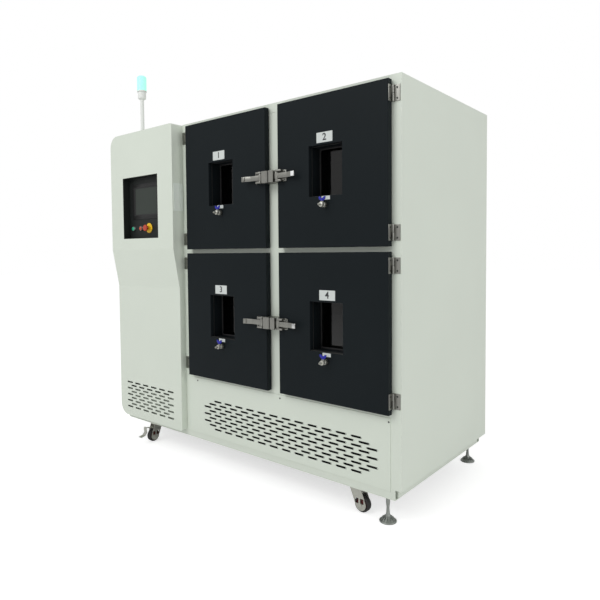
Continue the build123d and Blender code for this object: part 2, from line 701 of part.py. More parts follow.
def door_panel(row, side):
    """Dark outer slab and inner plug of a door, with its deep window well."""
    x, z = DOOR_CENTRE_X[side], DOOR_FOOT_Z[row]
    slab = block(x - DOOR_WIDTH / 2, x + DOOR_WIDTH / 2, -DOOR_PROUD, -DOOR_GAP, z, z + DOOR_HEIGHT)
    slab = fillet(slab.faces().sort_by(Axis.Y)[0].edges(), DOOR_EDGE_RADIUS)
    slab += opening_box(row, side, -PLUG_CLEAR, -DOOR_GAP, PLUG_REACH)
    slab -= window_box(row, side, 0, -DOOR_PROUD - 1, PLUG_REACH + 1)
    return slab - window_box(row, side, GLASS_LAP + GLASS_FIT, glass_front(), PLUG_REACH + 1)


def window_glass(row, side):
    """Pane on its shoulder at the inner end of the window well."""
    return window_box(row, side, GLASS_LAP, glass_front(), glass_front() + GLASS_THICK)


def hinge_axis(side):
    """X and Y of a door's hinge axis."""
    s = HINGE_SIDE[side]
    return DOOR_CENTRE_X[side] + s * (DOOR_WIDTH / 2 + HINGE_OUT), -HINGE_OUT


def hinge_heights(row):
    """Centres of a door's two hinges."""
    foot = DOOR_FOOT_Z[row]
    return foot + HINGE_INSET, foot + DOOR_HEIGHT - HINGE_INSET


def frame_hinge_leaves():
    """Frame leaves, each with the lower knuckle and the pin that the door lifts off."""
    leaves = []
    for row, side in DOORS:
        s = HINGE_SIDE[side]
        x, y = hinge_axis(side)
        reach = HINGE_FRAME_LEAF
        if side == "left":
            reach = x - COLUMN_SIDE - HINGE_COLUMN_CLEAR
        for z in hinge_heights(row):
            foot, top = z - HINGE_HIGH / 2, z + HINGE_HIGH / 2
            leaf = block(x - s * HINGE_BARREL, x + s * reach, -HINGE_LEAF, 0, foot, top)
            leaf += turned_z(HINGE_BARREL, x, y, foot, z)
            leaf += block(x, x + s * HINGE_BARREL, y, -HINGE_LEAF / 2, foot, z)
            leaf += turned_z(HINGE_PIN, x, y, z, z + HINGE_PIN_LENGTH)
            leaves.append(leaf)
    return leaves


def door_hinge_leaf(row, side, z):
    """Door leaf on the slab's side, with the upper knuckle and its blind bore."""
    s = HINGE_SIDE[side]
    x, y = hinge_axis(side)
    edge = DOOR_CENTRE_X[side] + s * DOOR_WIDTH / 2
    foot, top = z - HINGE_HIGH / 2, z + HINGE_HIGH / 2
    start = z + HINGE_SPLIT
    leaf = block(edge, edge + s * HINGE_LEAF, y - HINGE_DOOR_LEAF, y - HINGE_BARREL, foot, top)
    leaf += turned_z(HINGE_BARREL, x, y, start, top)
    leaf += block(edge, x, y - HINGE_BARREL, y, start, top)
    bore = HINGE_PIN + HINGE_PIN_CLEAR
    return leaf - bore_z(bore, x, y, z, z + HINGE_PIN_LENGTH + HINGE_PIN_END)


def latch_pivot(row, side):
    """Pivot of a door's latch lever in X, Y and Z."""
    s = HINGE_SIDE[side]
    free = DOOR_CENTRE_X[side] - s * DOOR_WIDTH / 2
    return free + s * LATCH_PIVOT_IN, -DOOR_PROUD - LATCH_PIVOT_RISE, DOOR_FOOT_Z[row] + DOOR_HEIGHT / 2


def latch_base(row, side):
    """Plate, rest pad and two ears with the pivot pin, on the door's face."""
    s = HINGE_SIDE[side]
    x, y, z = latch_pivot(row, side)
    free = x - s * LATCH_PIVOT_IN
    x0, x1 = free + s * LATCH_BASE_IN, free + s * (LATCH_BASE_IN + LATCH_BASE_WIDE)
    half = LATCH_BASE_HIGH / 2
    base = block(x0, x1, -DOOR_PROUD - LATCH_BASE_THICK, -DOOR_PROUD, z - half, z + half)
    base += block(free + s * LATCH_PAD_IN, x1, y + LATCH_ARM_THICK / 2 + SOFT_CLEAR, -DOOR_PROUD,
                  z - LATCH_ARM_HIGH / 2, z + LATCH_ARM_HIGH / 2)
    inner = LATCH_HUB_HIGH / 2 + LATCH_SIDE_CLEAR
    for sign in (-1, 1):
        z0, z1 = sorted((z + sign * inner, z + sign * (inner + LATCH_EAR_THICK)))
        base += block(x0, x + s * LATCH_EAR_RADIUS, y, -DOOR_PROUD, z0, z1)
        base += turned_z(LATCH_EAR_RADIUS, x, y, z0, z1)
        base -= block(free, x0, y - 2 * LATCH_EAR_RADIUS, 0, z0, z1)
    return base + turned_z(LATCH_PIN_RADIUS, x, y, z - inner, z + inner)


def latch_lever(row, side):
    """Lever with its hub, the arm away from the mullion and the nose towards the keeper."""
    s = HINGE_SIDE[side]
    x, y, z = latch_pivot(row, side)
    nose = LATCH_PIVOT_IN + KEEPER_CLEAR - LATCH_NOSE_GAP
    path = Polyline((-s * nose, 0), (s * LATCH_ARM_LENGTH / 2, 0),
                    (s * LATCH_ARM_BEND, -LATCH_ARM_SWEEP / 2),
                    (s * LATCH_ARM_LENGTH, -LATCH_ARM_SWEEP))
    arm = extrude(Pos(x, y, z - LATCH_ARM_HIGH / 2) * trace(path, LATCH_ARM_THICK), LATCH_ARM_HIGH)
    half = LATCH_HUB_HIGH / 2
    lever = arm + turned_z(LATCH_HUB_RADIUS, x, y, z - half, z + half)
    return lever - bore_z(LATCH_PIN_RADIUS + LATCH_PIN_CLEAR, x, y, z - half - 1, z + half + 1)


def latch_keepers():
    """Keepers on the mullion, one facing each latch, with a mouth for the lever's nose."""
    keepers = []
    for row, side in DOORS:
        s = HINGE_SIDE[side]
        x, y, z = latch_pivot(row, side)
        near = x - s * (LATCH_PIVOT_IN + KEEPER_CLEAR)
        far = near - s * KEEPER_WIDE
        mouth = near - s * KEEPER_MOUTH_DEEP
        y0, y1 = y - KEEPER_MOUTH / 2, y + KEEPER_MOUTH / 2
        front = y0 - KEEPER_LIP
        points = [(near, 0), (near, y1), (mouth, y1), (mouth, y0), (near, y0), (near, front),
                  (far + s * KEEPER_CHAMFER, front), (far, front + KEEPER_CHAMFER), (far, 0)]
        profile = make_face(Polyline(*points, close=True))
        keepers.append(extrude(Pos(0, 0, z - KEEPER_HIGH / 2) * profile, KEEPER_HIGH))
    return keepers


def door_fittings(row, side):
    """Both hinge leaves and the latch base of one door."""
    leaves = [door_hinge_leaf(row, side, z) for z in hinge_heights(row)]
    return leaves + [latch_base(row, side)]


def valve_axis(row, side):
    """X and Z of a sampling valve's bore, below the window."""
    x = DOOR_CENTRE_X[side] + WINDOW_SHIFT
    foot = DOOR_FOOT_Z[row] + DOOR_HEIGHT / 2 + WINDOW_RISE - WINDOW_HEIGHT / 2
    return x, foot - VALVE_DROP


def handle_level(row):
    """Underside of a valve handle's hub."""
    return valve_axis(row, "left")[1] + VALVE_BODY_RADIUS + VALVE_GLAND_HIGH + CONTROL_CLEAR


def valve_body(row, side):
    """Hexagon at the door, round body with its gland, and the plain outlet."""
    x, z = valve_axis(row, side)
    face = -DOOR_PROUD
    front = face - VALVE_BODY_FROM
    body = turned_y(VALVE_NUT_RADIUS, x, z, front, face, HEX_SIDE_COUNT)
    body += turned_y(VALVE_BODY_RADIUS, x, z, front - VALVE_BODY_LENGTH, front)
    body += round_y(VALVE_OUTLET_RADIUS, x, z, -FRONT_REACH, front - VALVE_BODY_LENGTH)
    top = z + VALVE_BODY_RADIUS + VALVE_GLAND_HIGH
    body += turned_z(VALVE_GLAND_RADIUS, x, -VALVE_AXIS_REACH, z, top, HEX_SIDE_COUNT)
    return body - bore_z(VALVE_STEM_RADIUS + VALVE_STEM_CLEAR, x, -VALVE_AXIS_REACH, z, top + 1)


def valve_handle(row, side):
    """Butterfly handle with its hub and stem, lying across the door when shut."""
    x, z = valve_axis(row, side)
    level = handle_level(row)
    top = level + HANDLE_HUB_HIGH
    tip, waist = HANDLE_LENGTH / 2, HANDLE_WAIST / 2
    wide = HANDLE_WIDE / 2
    half = [(0, waist), (tip - wide, wide), (tip, waist)]
    right = half + [(u, -v) for u, v in reversed(half)]
    wing = make_face(Polyline(*right, *[(-u, v) for u, v in reversed(right) if u > 0], close=True))
    handle = extrude(Pos(x, -VALVE_AXIS_REACH, top - HANDLE_THICK) * wing, HANDLE_THICK)
    handle += turned_z(HANDLE_HUB_RADIUS, x, -VALVE_AXIS_REACH, level, top)
    foot = z + END_CLEAR
    return handle + turned_z(VALVE_STEM_RADIUS, x, -VALVE_AXIS_REACH, foot, top, HEX_SIDE_COUNT)


def caster_at(x, y, turn, piece):
    """Move a caster piece from its own axis to its place, turned about the upright axis."""
    return Pos(x, y, 0) * Rot(Z=turn) * piece


def caster_plate():
    """Top plate, race and kingpin of a swivel caster, on the origin's upright line."""
    top = BASE_BOTTOM
    under = top - CASTER_PLATE_THICK
    race = under - CASTER_RACE_HIGH
    plate = block(-CASTER_PLATE_X / 2, CASTER_PLATE_X / 2, -CASTER_PLATE_Y / 2, CASTER_PLATE_Y / 2,
                  under, top)
    plate += turned_z(CASTER_RACE_RADIUS, 0, 0, race, under, BOSS_SIDE_COUNT)
    foot = race - FORK_TOP_THICK - 2 * FORK_CLEAR
    plate += turned_z(KINGPIN_RADIUS, 0, 0, foot, race)
    low = foot - KINGPIN_HEAD_HIGH
    return plate + turned_z(KINGPIN_HEAD_RADIUS, 0, 0, low, foot, HEX_SIDE_COUNT)


def caster_legs(top):
    """Two pierced side plates and the axle between them; the wheel trails towards +X."""
    inner = WHEEL_WIDTH / 2 + WHEEL_SIDE_CLEAR
    head = Pos((CASTER_TRAIL - FORK_TOP_RADIUS) / 2 - CASTER_TRAIL, top - FORK_TOP_THICK / 2)
    head *= Rectangle(CASTER_TRAIL + FORK_TOP_RADIUS, FORK_TOP_THICK)
    disc = Pos(0, WHEEL_CENTRE_Z) * RegularPolygon(FORK_LEG_RADIUS, BOSS_SIDE_COUNT)
    outline = make_hull(head.edges() + disc.edges())
    window = Rectangle(FORK_WINDOW_WIDE, FORK_WINDOW_HIGH)
    for sign in (-1, 1):
        u = sign * (FORK_RIB + FORK_WINDOW_WIDE) / 2 - CASTER_TRAIL / 4
        outline -= Pos(u, WHEEL_CENTRE_Z + FORK_WINDOW_RISE) * window
    outer = inner + FORK_LEG_THICK
    legs = front_prism(outline, inner, outer) + front_prism(outline, -outer, -inner)
    legs += turned_y(AXLE_RADIUS, 0, WHEEL_CENTRE_Z, -outer, outer)
    for y0 in (outer, -outer - AXLE_HEAD_THICK):
        legs += turned_y(AXLE_HEAD_RADIUS, 0, WHEEL_CENTRE_Z, y0, y0 + AXLE_HEAD_THICK, HEX_SIDE_COUNT)
    return legs


def swivel_fork(pedal_pin):
    """Fork that turns on the kingpin, with a cross pin where it carries a brake pedal."""
    top = BASE_BOTTOM - CASTER_PLATE_THICK - CASTER_RACE_HIGH - FORK_CLEAR
    legs = caster_legs(top)
    if pedal_pin:
        reach = WHEEL_WIDTH / 2 + WHEEL_SIDE_CLEAR
        legs += turned_y(PEDAL_PIN, PEDAL_PIVOT_U, WHEEL_CENTRE_Z + PEDAL_PIVOT_RISE, -reach, reach)
    fork = Pos(CASTER_TRAIL, 0, 0) * legs
    half = WHEEL_WIDTH / 2 + WHEEL_SIDE_CLEAR + FORK_LEG_THICK
    crown = block(-FORK_TOP_RADIUS, CASTER_TRAIL, -half, half, top - FORK_TOP_THICK, top)
    fork += crown
    return fork - bore_z(KINGPIN_RADIUS + KINGPIN_CLEAR, 0, 0, top - 2 * FORK_TOP_THICK, BASE_TOP)


def rigid_fork():
    """Fork fixed straight to its top plate, for the rear casters."""
    top = BASE_BOTTOM
    legs = Pos(CASTER_TRAIL / 2, 0, 0) * caster_legs(top - CASTER_PLATE_THICK)
    plate = block(-CASTER_PLATE_X / 2, CASTER_PLATE_X / 2, -CASTER_PLATE_Y / 2, CASTER_PLATE_Y / 2,
                  top - CASTER_PLATE_THICK, top)
    return Pos(-CASTER_TRAIL / 2, 0, 0) * (legs + plate)


def caster_wheel():
    """Wheel with cropped tread edges, on the axle along Y."""
    half, z = WHEEL_WIDTH / 2, WHEEL_CENTRE_Z
    rims = [(WHEEL_RADIUS - WHEEL_CROP, -half), (WHEEL_RADIUS, WHEEL_CROP - half),
            (WHEEL_RADIUS, half - WHEEL_CROP), (WHEEL_RADIUS - WHEEL_CROP, half)]
    return tapered_y(rims, 0, 0, z) - bore_y(AXLE_RADIUS + AXLE_CLEAR, 0, z, -half - 1, half + 1)


def brake_pedal():
    """Arched pedal strip with its barrel, in the front left fork."""
    u, z = PEDAL_PIVOT_U, WHEEL_CENTRE_Z + PEDAL_PIVOT_RISE
    path = Polyline((u, z), *[(u + along, z + rise) for along, rise in PEDAL_PATH])
    strip = front_prism(trace(path, PEDAL_THICK), -PEDAL_WIDE / 2, PEDAL_WIDE / 2)
    strip += turned_y(PEDAL_BARREL, u, z, -PEDAL_WIDE / 2, PEDAL_WIDE / 2)
    strip -= bore_y(PEDAL_PIN + PEDAL_PIN_CLEAR, u, z, -PEDAL_WIDE, PEDAL_WIDE)
    return Pos(CASTER_TRAIL, 0, 0) * strip


def levelling_foot(y):
    """Coned pad and neck, with the stem and its lock nut above."""
    x = RIGHT - FOOT_FROM_SIDE
    under = BASE_BOTTOM - NUT_HIGH - SOFT_CLEAR
    levels = [(FOOT_PAD_RADIUS, 0), (FOOT_PAD_RADIUS, FOOT_PAD_RIM),
              (FOOT_NECK_RADIUS, FOOT_CONE_TOP), (FOOT_NECK_RADIUS, under)]
    foot = Pos(x, y, 0) * tapered(levels)
    foot += turned_z(NUT_RADIUS, x, y, under, under + NUT_HIGH, HEX_SIDE_COUNT)
    return foot + turned_z(FOOT_STEM_RADIUS, x, y, under, BASE_BOTTOM + FOOT_EXTENSION)


def cable_gland():
    """Gland for the mains cable on the left rear panel."""
    x, z = LEFT + GLAND_FROM_LEFT, GLAND_RISE
    back = BODY_DEPTH + GLAND_REACH
    gland = turned_y(GLAND_RADIUS, x, z, BODY_DEPTH, BODY_DEPTH + GLAND_NUT_THICK, HEX_SIDE_COUNT)
    gland += turned_y(GLAND_CAP_RADIUS, x, z, BODY_DEPTH, back)
    return gland - bore_y(GLAND_BORE, x, z, back - GLAND_BORE_DEEP, back + 1)


def write(node, shapes):
    """Write one node's solids to its STEP file in the shared frame."""
    solids = []
    for shape in shapes if isinstance(shapes, list) else [shapes]:
        solids += (SHIFT * shape).solids()
    whole = solids[0] if len(solids) == 1 else Compound(children=solids)
    export_step(whole, f"parts/{node}.step")
    print(node, len(solids), "solids", round(sum(s.volume for s in solids) / 1000), "cm3")


os.makedirs("parts", exist_ok=True)

for maker in (base_frame, side_panels, top_cover, rear_panels, face_frame, lower_grille_panel,
              control_column, chamber_liners, sample_shelves, air_baffles, door_gaskets,
              control_panel, hmi_bezel, hmi_screen, button_bushes, stop_plate, emergency_stop,
              interface_plate, tower_stem, tower_lens, frame_hinge_leaves, latch_keepers,
              cable_gland):
    write(maker.__name__, maker())
write("red_button", push_button(1))
write("green_button", push_button(2))

for row, side in DOORS:
    for maker in (door_panel, window_glass, door_fittings, latch_lever, valve_body, valve_handle):
        write(f"{maker.__name__}_{row}_{side}", maker(row, side))

FRONT_CASTERS = {"left": (-CASTER_X, FRONT_LEFT_ANGLE), "right": (CASTER_X, FRONT_RIGHT_ANGLE)}
write("caster_plates", [caster_at(x, CASTER_FRONT_Y, 0, caster_plate())
                        for x, turn in FRONT_CASTERS.values()])
write("rear_caster_forks", [caster_at(x, CASTER_REAR_Y, 0, rigid_fork())
                            for x in (-CASTER_X, CASTER_X)])
for side, (x, turn) in FRONT_CASTERS.items():
    wheel = Pos(CASTER_TRAIL, 0, 0) * caster_wheel()
    write(f"caster_fork_front_{side}", caster_at(x, CASTER_FRONT_Y, turn, swivel_fork(side == "left")))
    write(f"caster_wheel_front_{side}", caster_at(x, CASTER_FRONT_Y, turn, wheel))
    write(f"caster_wheel_rear_{side}", caster_at(x, CASTER_REAR_Y, 0, caster_wheel()))
write("brake_pedal", caster_at(-CASTER_X, CASTER_FRONT_Y, FRONT_LEFT_ANGLE, brake_pedal()))
write("levelling_foot_front", levelling_foot(FOOT_FRONT_Y))
write("levelling_foot_rear", levelling_foot(BODY_DEPTH - BASE_BACK_INSET - BASE_TUBE_WIDE / 2))
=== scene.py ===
import json
import logging
import math
from dataclasses import dataclass
from enum import Enum
from typing import Sequence

import bmesh
import bpy
from mathutils import Matrix, Vector


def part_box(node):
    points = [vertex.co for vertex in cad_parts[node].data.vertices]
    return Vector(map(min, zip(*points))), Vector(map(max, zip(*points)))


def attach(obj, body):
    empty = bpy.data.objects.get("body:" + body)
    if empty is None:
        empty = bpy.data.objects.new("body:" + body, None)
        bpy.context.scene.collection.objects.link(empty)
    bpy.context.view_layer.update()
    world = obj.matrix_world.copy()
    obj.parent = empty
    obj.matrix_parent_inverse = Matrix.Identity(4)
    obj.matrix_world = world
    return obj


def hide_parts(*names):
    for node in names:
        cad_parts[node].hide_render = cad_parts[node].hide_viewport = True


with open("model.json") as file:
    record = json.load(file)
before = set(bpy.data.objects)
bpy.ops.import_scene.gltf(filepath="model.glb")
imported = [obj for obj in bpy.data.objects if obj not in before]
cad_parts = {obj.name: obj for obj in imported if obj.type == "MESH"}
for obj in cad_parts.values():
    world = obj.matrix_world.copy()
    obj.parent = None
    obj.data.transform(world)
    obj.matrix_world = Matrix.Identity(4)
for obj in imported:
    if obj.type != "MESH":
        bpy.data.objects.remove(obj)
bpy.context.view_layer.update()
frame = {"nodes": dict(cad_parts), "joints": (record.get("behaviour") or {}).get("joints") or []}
LOG = logging.getLogger("conditioning_chamber")
JOINTS = {joint["name"]: joint for joint in frame["joints"]}
QUARTER = math.radians(90)
ROWS = ("upper", "lower")
SIDES = {"left": -1, "right": 1}

# Every finish: detail of its two noises, scale of the broad one, spread of the sheen.
FINE_DETAIL = 3.0
BROAD_DETAIL = 2.0
BROAD_SCALE = 2.2
SHEEN_SPREAD = 0.12
SHEEN_LEAST = 0.02
BUMP_STRENGTH = 0.5

# Every mesh: edges flatter than the angle are smooth, points nearer than the weld are one,
# and a rounding takes at most its share of a run, a box's side or a plate's thickness.
SMOOTH_ANGLE = math.radians(32)
WELD = 1e-6
RUN_SHARE = 0.49
BOX_SHARE = 0.45
PLATE_SHARE = 0.4

Colour = tuple[float, float, float]
Point = Sequence[float]
Line = list[tuple[float, float]]
Profile = tuple[tuple[float, float], ...]
Socket = bpy.types.NodeSocket


class Axis(Enum):
    """Direction in which a turned or flat piece is raised from its own XY plane."""

    UP = Matrix.Identity(4)
    FRONT = Matrix.Rotation(QUARTER, 4, "X")
    RIGHT = Matrix.Rotation(QUARTER, 4, "Z") @ Matrix.Rotation(QUARTER, 4, "X")
    LEFT = Matrix.Rotation(-QUARTER, 4, "Z") @ Matrix.Rotation(QUARTER, 4, "X")


def feed(tree: bpy.types.NodeTree, node: bpy.types.Node, inputs: dict) -> bpy.types.Node:
    """Link or set a node's inputs.

    Args:
        tree: The tree that holds the node.
        node: The node.
        inputs: Socket name or number to an output socket, or to a plain value.

    Returns:
        The same node.
    """
    for key, value in inputs.items():
        if isinstance(value, Socket):
            tree.links.new(value, node.inputs[key])
        else:
            node.inputs[key].default_value = value
    return node


def add_node(tree: bpy.types.NodeTree, kind: str, inputs: dict | None = None,
             **settings: object) -> bpy.types.Node:
    """Add a node to a shader or geometry tree.

    Args:
        tree: The tree that gets it.
        kind: The node's type.
        inputs: Socket name or number to an output socket, or to a plain value.
        settings: The node's own properties.

    Returns:
        The node.
    """
    node = tree.nodes.new(kind)
    for key, value in settings.items():
        setattr(node, key, value)
    return feed(tree, node, inputs or {})


@dataclass(frozen=True)
class Finish:
    """A surface with a fine grain and a broad mottle, both from noise on Object coordinates."""

    name: str
    colour: Colour
    metallic: float = 0.0
    roughness: float = 0.5
    grain: float = 900.0
    depth: float = 0.0001
    mottle: float = 0.03
    stretch: Point = (1.0, 1.0, 1.0)
    coat: float = 0.0
    clear: float = 0.0
    glow: float = 0.0
    specular: float = 0.5

    def material(self) -> bpy.types.Material:
        """The finish's Blender material, made on first use."""
        return bpy.data.materials.get(f"{self.name}_look") or self._make()

    def _make(self) -> bpy.types.Material:
        """Build the material's nodes.

        Returns:
            The new material.
        """
        made = bpy.data.materials.new(f"{self.name}_look")
        made.use_nodes = True
        tree = made.node_tree
        place = add_node(tree, "ShaderNodeTexCoord").outputs["Object"]
        mapping = add_node(tree, "ShaderNodeMapping", {"Vector": place, "Scale": self.stretch}).outputs[0]
        fine, broad = (add_node(tree, "ShaderNodeTexNoise",
                                {"Vector": mapping, "Scale": scale, "Detail": detail}).outputs["Fac"]
                       for scale, detail in ((self.grain, FINE_DETAIL), (BROAD_SCALE, BROAD_DETAIL)))
        dark, light = ((*[min(1.0, c * share) for c in self.colour], 1.0)
                       for share in (1 - self.mottle, 1 + self.mottle))
        tint = add_node(tree, "ShaderNodeMix", {"Factor": broad, "A": dark, "B": light}, data_type="RGBA")
        sheen = add_node(tree, "ShaderNodeMapRange",
                         {"Value": fine, "To Min": max(SHEEN_LEAST, self.roughness * (1 - SHEEN_SPREAD)),
                          "To Max": min(1.0, self.roughness * (1 + SHEEN_SPREAD))})
        bump = add_node(tree, "ShaderNodeBump",
                        {"Height": fine, "Distance": self.depth, "Strength": BUMP_STRENGTH})
        values = {"Base Color": tint.outputs["Result"], "Roughness": sheen.outputs["Result"],
                  "Normal": bump.outputs["Normal"], "Metallic": self.metallic, "Coat Weight": self.coat,
                  "Transmission Weight": self.clear, "Specular IOR Level": self.specular}
        if self.glow:
            values |= {"Emission Color": (*self.colour, 1.0), "Emission Strength": self.glow}
        feed(tree, tree.nodes["Principled BSDF"], values)
        return made


SHELL_PAINT = Finish("shell_powder_coat", (0.690, 0.745, 0.660), roughness=0.42, grain=700, depth=0.0002)
# The shell's paint made 3% darker: painted shade on the base frame, low and set back under the panels.
SHADED_BASE_PAINT = Finish("base_powder_coat", (0.670, 0.722, 0.640), roughness=0.5, grain=700, depth=0.0002)
DOOR_PAINT = Finish("door_powder_coat", (0.0098, 0.0135, 0.0155), roughness=0.48, grain=650, depth=0.0002,
                    mottle=0.10, specular=0.08)
STEEL = Finish("brushed_steel", (0.30, 0.30, 0.275), 1.0, 0.38, 500, 0.00005, 0.06, (1.0, 1.0, 14.0))
LINER = Finish("liner_steel", (0.40, 0.41, 0.42), 1.0, 0.34, 300, 0.00004, 0.05, (1.0, 1.0, 20.0))
CHROME = Finish("bright_chrome", (0.66, 0.67, 0.67), 1.0, 0.18, 200, 0.00001, 0.02)
CAST_ZINC = Finish("cast_zinc", (0.33, 0.35, 0.33), 0.9, 0.42, 420, 0.0002, 0.10)
PLATED = Finish("plated_steel", (0.52, 0.52, 0.47), 0.85, 0.36, 380, 0.00008, 0.08)
# White painted highlight on the end block of the upper right door's lever.
TIP_HIGHLIGHT = Finish("lever_tip_white", (0.86, 0.87, 0.87), 0.0, 0.35, 300, 0.00003, 0.01)
RUBBER = Finish("seal_rubber", (0.020, 0.020, 0.021), 0.0, 0.75, 500, 0.0002, 0.12)
TYRE = Finish("tyre_rubber", (0.028, 0.026, 0.026), 0.0, 0.62, 260, 0.0002, 0.15)
HUB_RED = Finish("wheel_core_red", (0.095, 0.016, 0.014), 0.0, 0.5, 300, 0.0001, 0.10)
PAN_BLACK = Finish("recess_black", (0.0120, 0.0150, 0.0140), 0.0, 0.5, 800, 0.00012, 0.10, specular=0.3)
BEZEL_BLACK = Finish("bezel_black", (0.0120, 0.0125, 0.0125), 0.0, 0.38, 1200, 0.00008, 0.08, specular=0.4)
SCREEN = Finish("screen_glass", (0.036, 0.045, 0.038), 0.0, 0.20, 60, 0.00001, 0.10, specular=0.25)
PANE = Finish("window_pane", (0.050, 0.052, 0.048), 0.0, 0.05, 30, 0.00001, 0.02, clear=1.0, specular=0.25)
SIGNAL_RED = Finish("stop_red", (0.480, 0.045, 0.015), 0.0, 0.34, 300, 0.00002, 0.05, coat=0.3)
CAP_RED = Finish("cap_red", (0.560, 0.090, 0.030), 0.0, 0.3, 300, 0.00002, 0.05, coat=0.3)
CAP_GREEN = Finish("cap_green", (0.010, 0.420, 0.230), 0.0, 0.3, 300, 0.00002, 0.05, coat=0.3)
STOP_YELLOW = Finish("stop_yellow", (0.950, 0.600, 0.020), 0.0, 0.4, 300, 0.00003, 0.04)
BLUE_GRIP = Finish("grip_blue", (0.008, 0.012, 0.330), 0.0, 0.38, 500, 0.00005, 0.06)
GREY_PLASTIC = Finish("tower_plastic", (0.80, 0.82, 0.79), 0.0, 0.4, 600, 0.00004, 0.03)
LENS = Finish("lens_green", (0.340, 0.800, 0.660), 0.0, 0.22, 90, 0.0003, 0.05, (1.0, 1.0, 0.1), glow=0.60)
CARD = Finish("label_card", (0.62, 0.66, 0.64), 0.0, 0.55, 900, 0.00003, 0.03)
INK = Finish("label_ink", (0.030, 0.032, 0.034), 0.0, 0.6, 900, 0.00001, 0.10)
DARK_SCREW = Finish("blackened_screw", (0.050, 0.052, 0.050), 0.8, 0.4, 300, 0.00005, 0.10)
PORT_GREY = Finish("port_plate_grey", (0.760, 0.820, 0.760), 0.0, 0.45, 500, 0.00005, 0.03)
# Near-black painted shade, for the sheet behind the lower grille and for the walls and rims of the punched
# slots.
SHADE_BLACK = Finish("filter_mat", (0.008, 0.008, 0.008), 0.0, 0.95, 400, 0.0006, 0.2, specular=0.05)
BLACK_PLASTIC = Finish("gland_plastic", (0.020, 0.020, 0.021), 0.0, 0.45, 600, 0.0001, 0.08)

NODE_FINISHES = {
    "base_frame": SHADED_BASE_PAINT, "side_panels": SHELL_PAINT, "top_cover": SHELL_PAINT,
    "rear_panels": SHELL_PAINT, "face_frame": SHELL_PAINT, "lower_grille_panel": SHELL_PAINT,
    "control_column": SHELL_PAINT, "chamber_liners": LINER, "air_baffles": LINER,
    "sample_shelves": STEEL, "door_gaskets": RUBBER, "control_panel": PAN_BLACK,
    "hmi_bezel": BEZEL_BLACK, "hmi_screen": SCREEN, "button_bushes": CHROME, "stop_plate": STOP_YELLOW,
    "emergency_stop": SIGNAL_RED, "red_button": CAP_RED, "green_button": CAP_GREEN,
    "interface_plate": PORT_GREY, "tower_stem": GREY_PLASTIC, "tower_lens": LENS,
    "frame_hinge_leaves": STEEL, "latch_keepers": STEEL, "cable_gland": BLACK_PLASTIC,
    "caster_plates": PLATED, "rear_caster_forks": PLATED, "caster_fork": PLATED,
    "caster_wheel": TYRE, "brake_pedal": PLATED, "levelling_foot": CAST_ZINC,
    "door_panel": DOOR_PAINT, "window_glass": PANE, "door_fittings": STEEL, "latch_lever": STEEL,
    "valve_body": STEEL, "valve_handle": BLUE_GRIP,
}


def softened(points: Sequence[Point], radius: float, steps: int = 3, closed: bool = False) -> Line:
    """Round the inner corners of a line of points.

    Args:
        points: The corners, as pairs.
        radius: The radius asked for, made smaller where the runs are short.
        steps: Runs that stand for one arc.
        closed: Whether the last point joins the first.

    Returns:
        The points of the rounded line.
    """
    corners = [Vector(p[:2]) for p in points]
    count = len(corners)
    made = []
    for i, corner in enumerate(corners):
        if not closed and i in (0, count - 1):
            made.append(tuple(corner))
            continue
        before, after = corners[i - 1] - corner, corners[(i + 1) % count] - corner
        cut = min(radius, before.length * RUN_SHARE, after.length * RUN_SHARE)
        start, end = corner + before.normalized() * cut, corner + after.normalized() * cut
        for step in range(steps + 1):
            t = step / steps
            made.append(tuple(start * (1 - t) ** 2 + corner * 2 * t * (1 - t) + end * t * t))
    return made


def rectangle(width: float, height: float, radius: float) -> Line:
    """Outline of a rectangle with rounded corners, round the origin.

    Args:
        width: Size along the first axis.
        height: Size along the second axis.
        radius: Corner radius.

    Returns:
        Its points, anticlockwise.
    """
    signs = ((-1, -1), (1, -1), (1, 1), (-1, 1))
    return softened([(u * width / 2, v * height / 2) for u, v in signs], radius, closed=True)


def ring(radius: float, count: int) -> Line:
    """Points evenly spaced on a circle round the origin.

    Args:
        radius: Radius of the circle.
        count: Number of points.

    Returns:
        The points, anticlockwise.
    """
    turns = [2 * math.pi * i / count for i in range(count)]
    return [(radius * math.cos(a), radius * math.sin(a)) for a in turns]


def crown(radius: float, top: float, curve: Sequence[Point]) -> Line:
    """Domed end of a turned profile.

    Args:
        radius: Radius of the piece.
        top: Height of the end.
        curve: Pairs of share of the radius and drop below the end.

    Returns:
        The profile's last points.
    """
    return [(radius * share, top - drop) for share, drop in curve]


def span(node: str) -> tuple[Vector, Vector, Vector]:
    """A CAD node's low corner, high corner and middle."""
    low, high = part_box(node)
    return low, high, (low + high) / 2


def seat_of(node: str) -> tuple[Vector, Vector]:
    """Middle of a CAD node's back face, and the node's size."""
    low, high, centre = span(node)
    return Vector((centre.x, high.y, centre.z)), high - low


def mesh_of(curve: bpy.types.Curve) -> bmesh.types.BMesh:
    """Turn a filled curve or a text into a mesh.

    Args:
        curve: The curve's data.

    Returns:
        Its mesh, which the caller frees.
    """
    holder = bpy.data.objects.new("curve", curve)
    bpy.context.scene.collection.objects.link(holder)
    graph = bpy.context.evaluated_depsgraph_get()
    flat = bpy.data.meshes.new_from_object(holder.evaluated_get(graph), depsgraph=graph)
    bpy.data.objects.remove(holder)
    part = bmesh.new()
    part.from_mesh(flat)
    bpy.data.meshes.remove(flat)
    return part


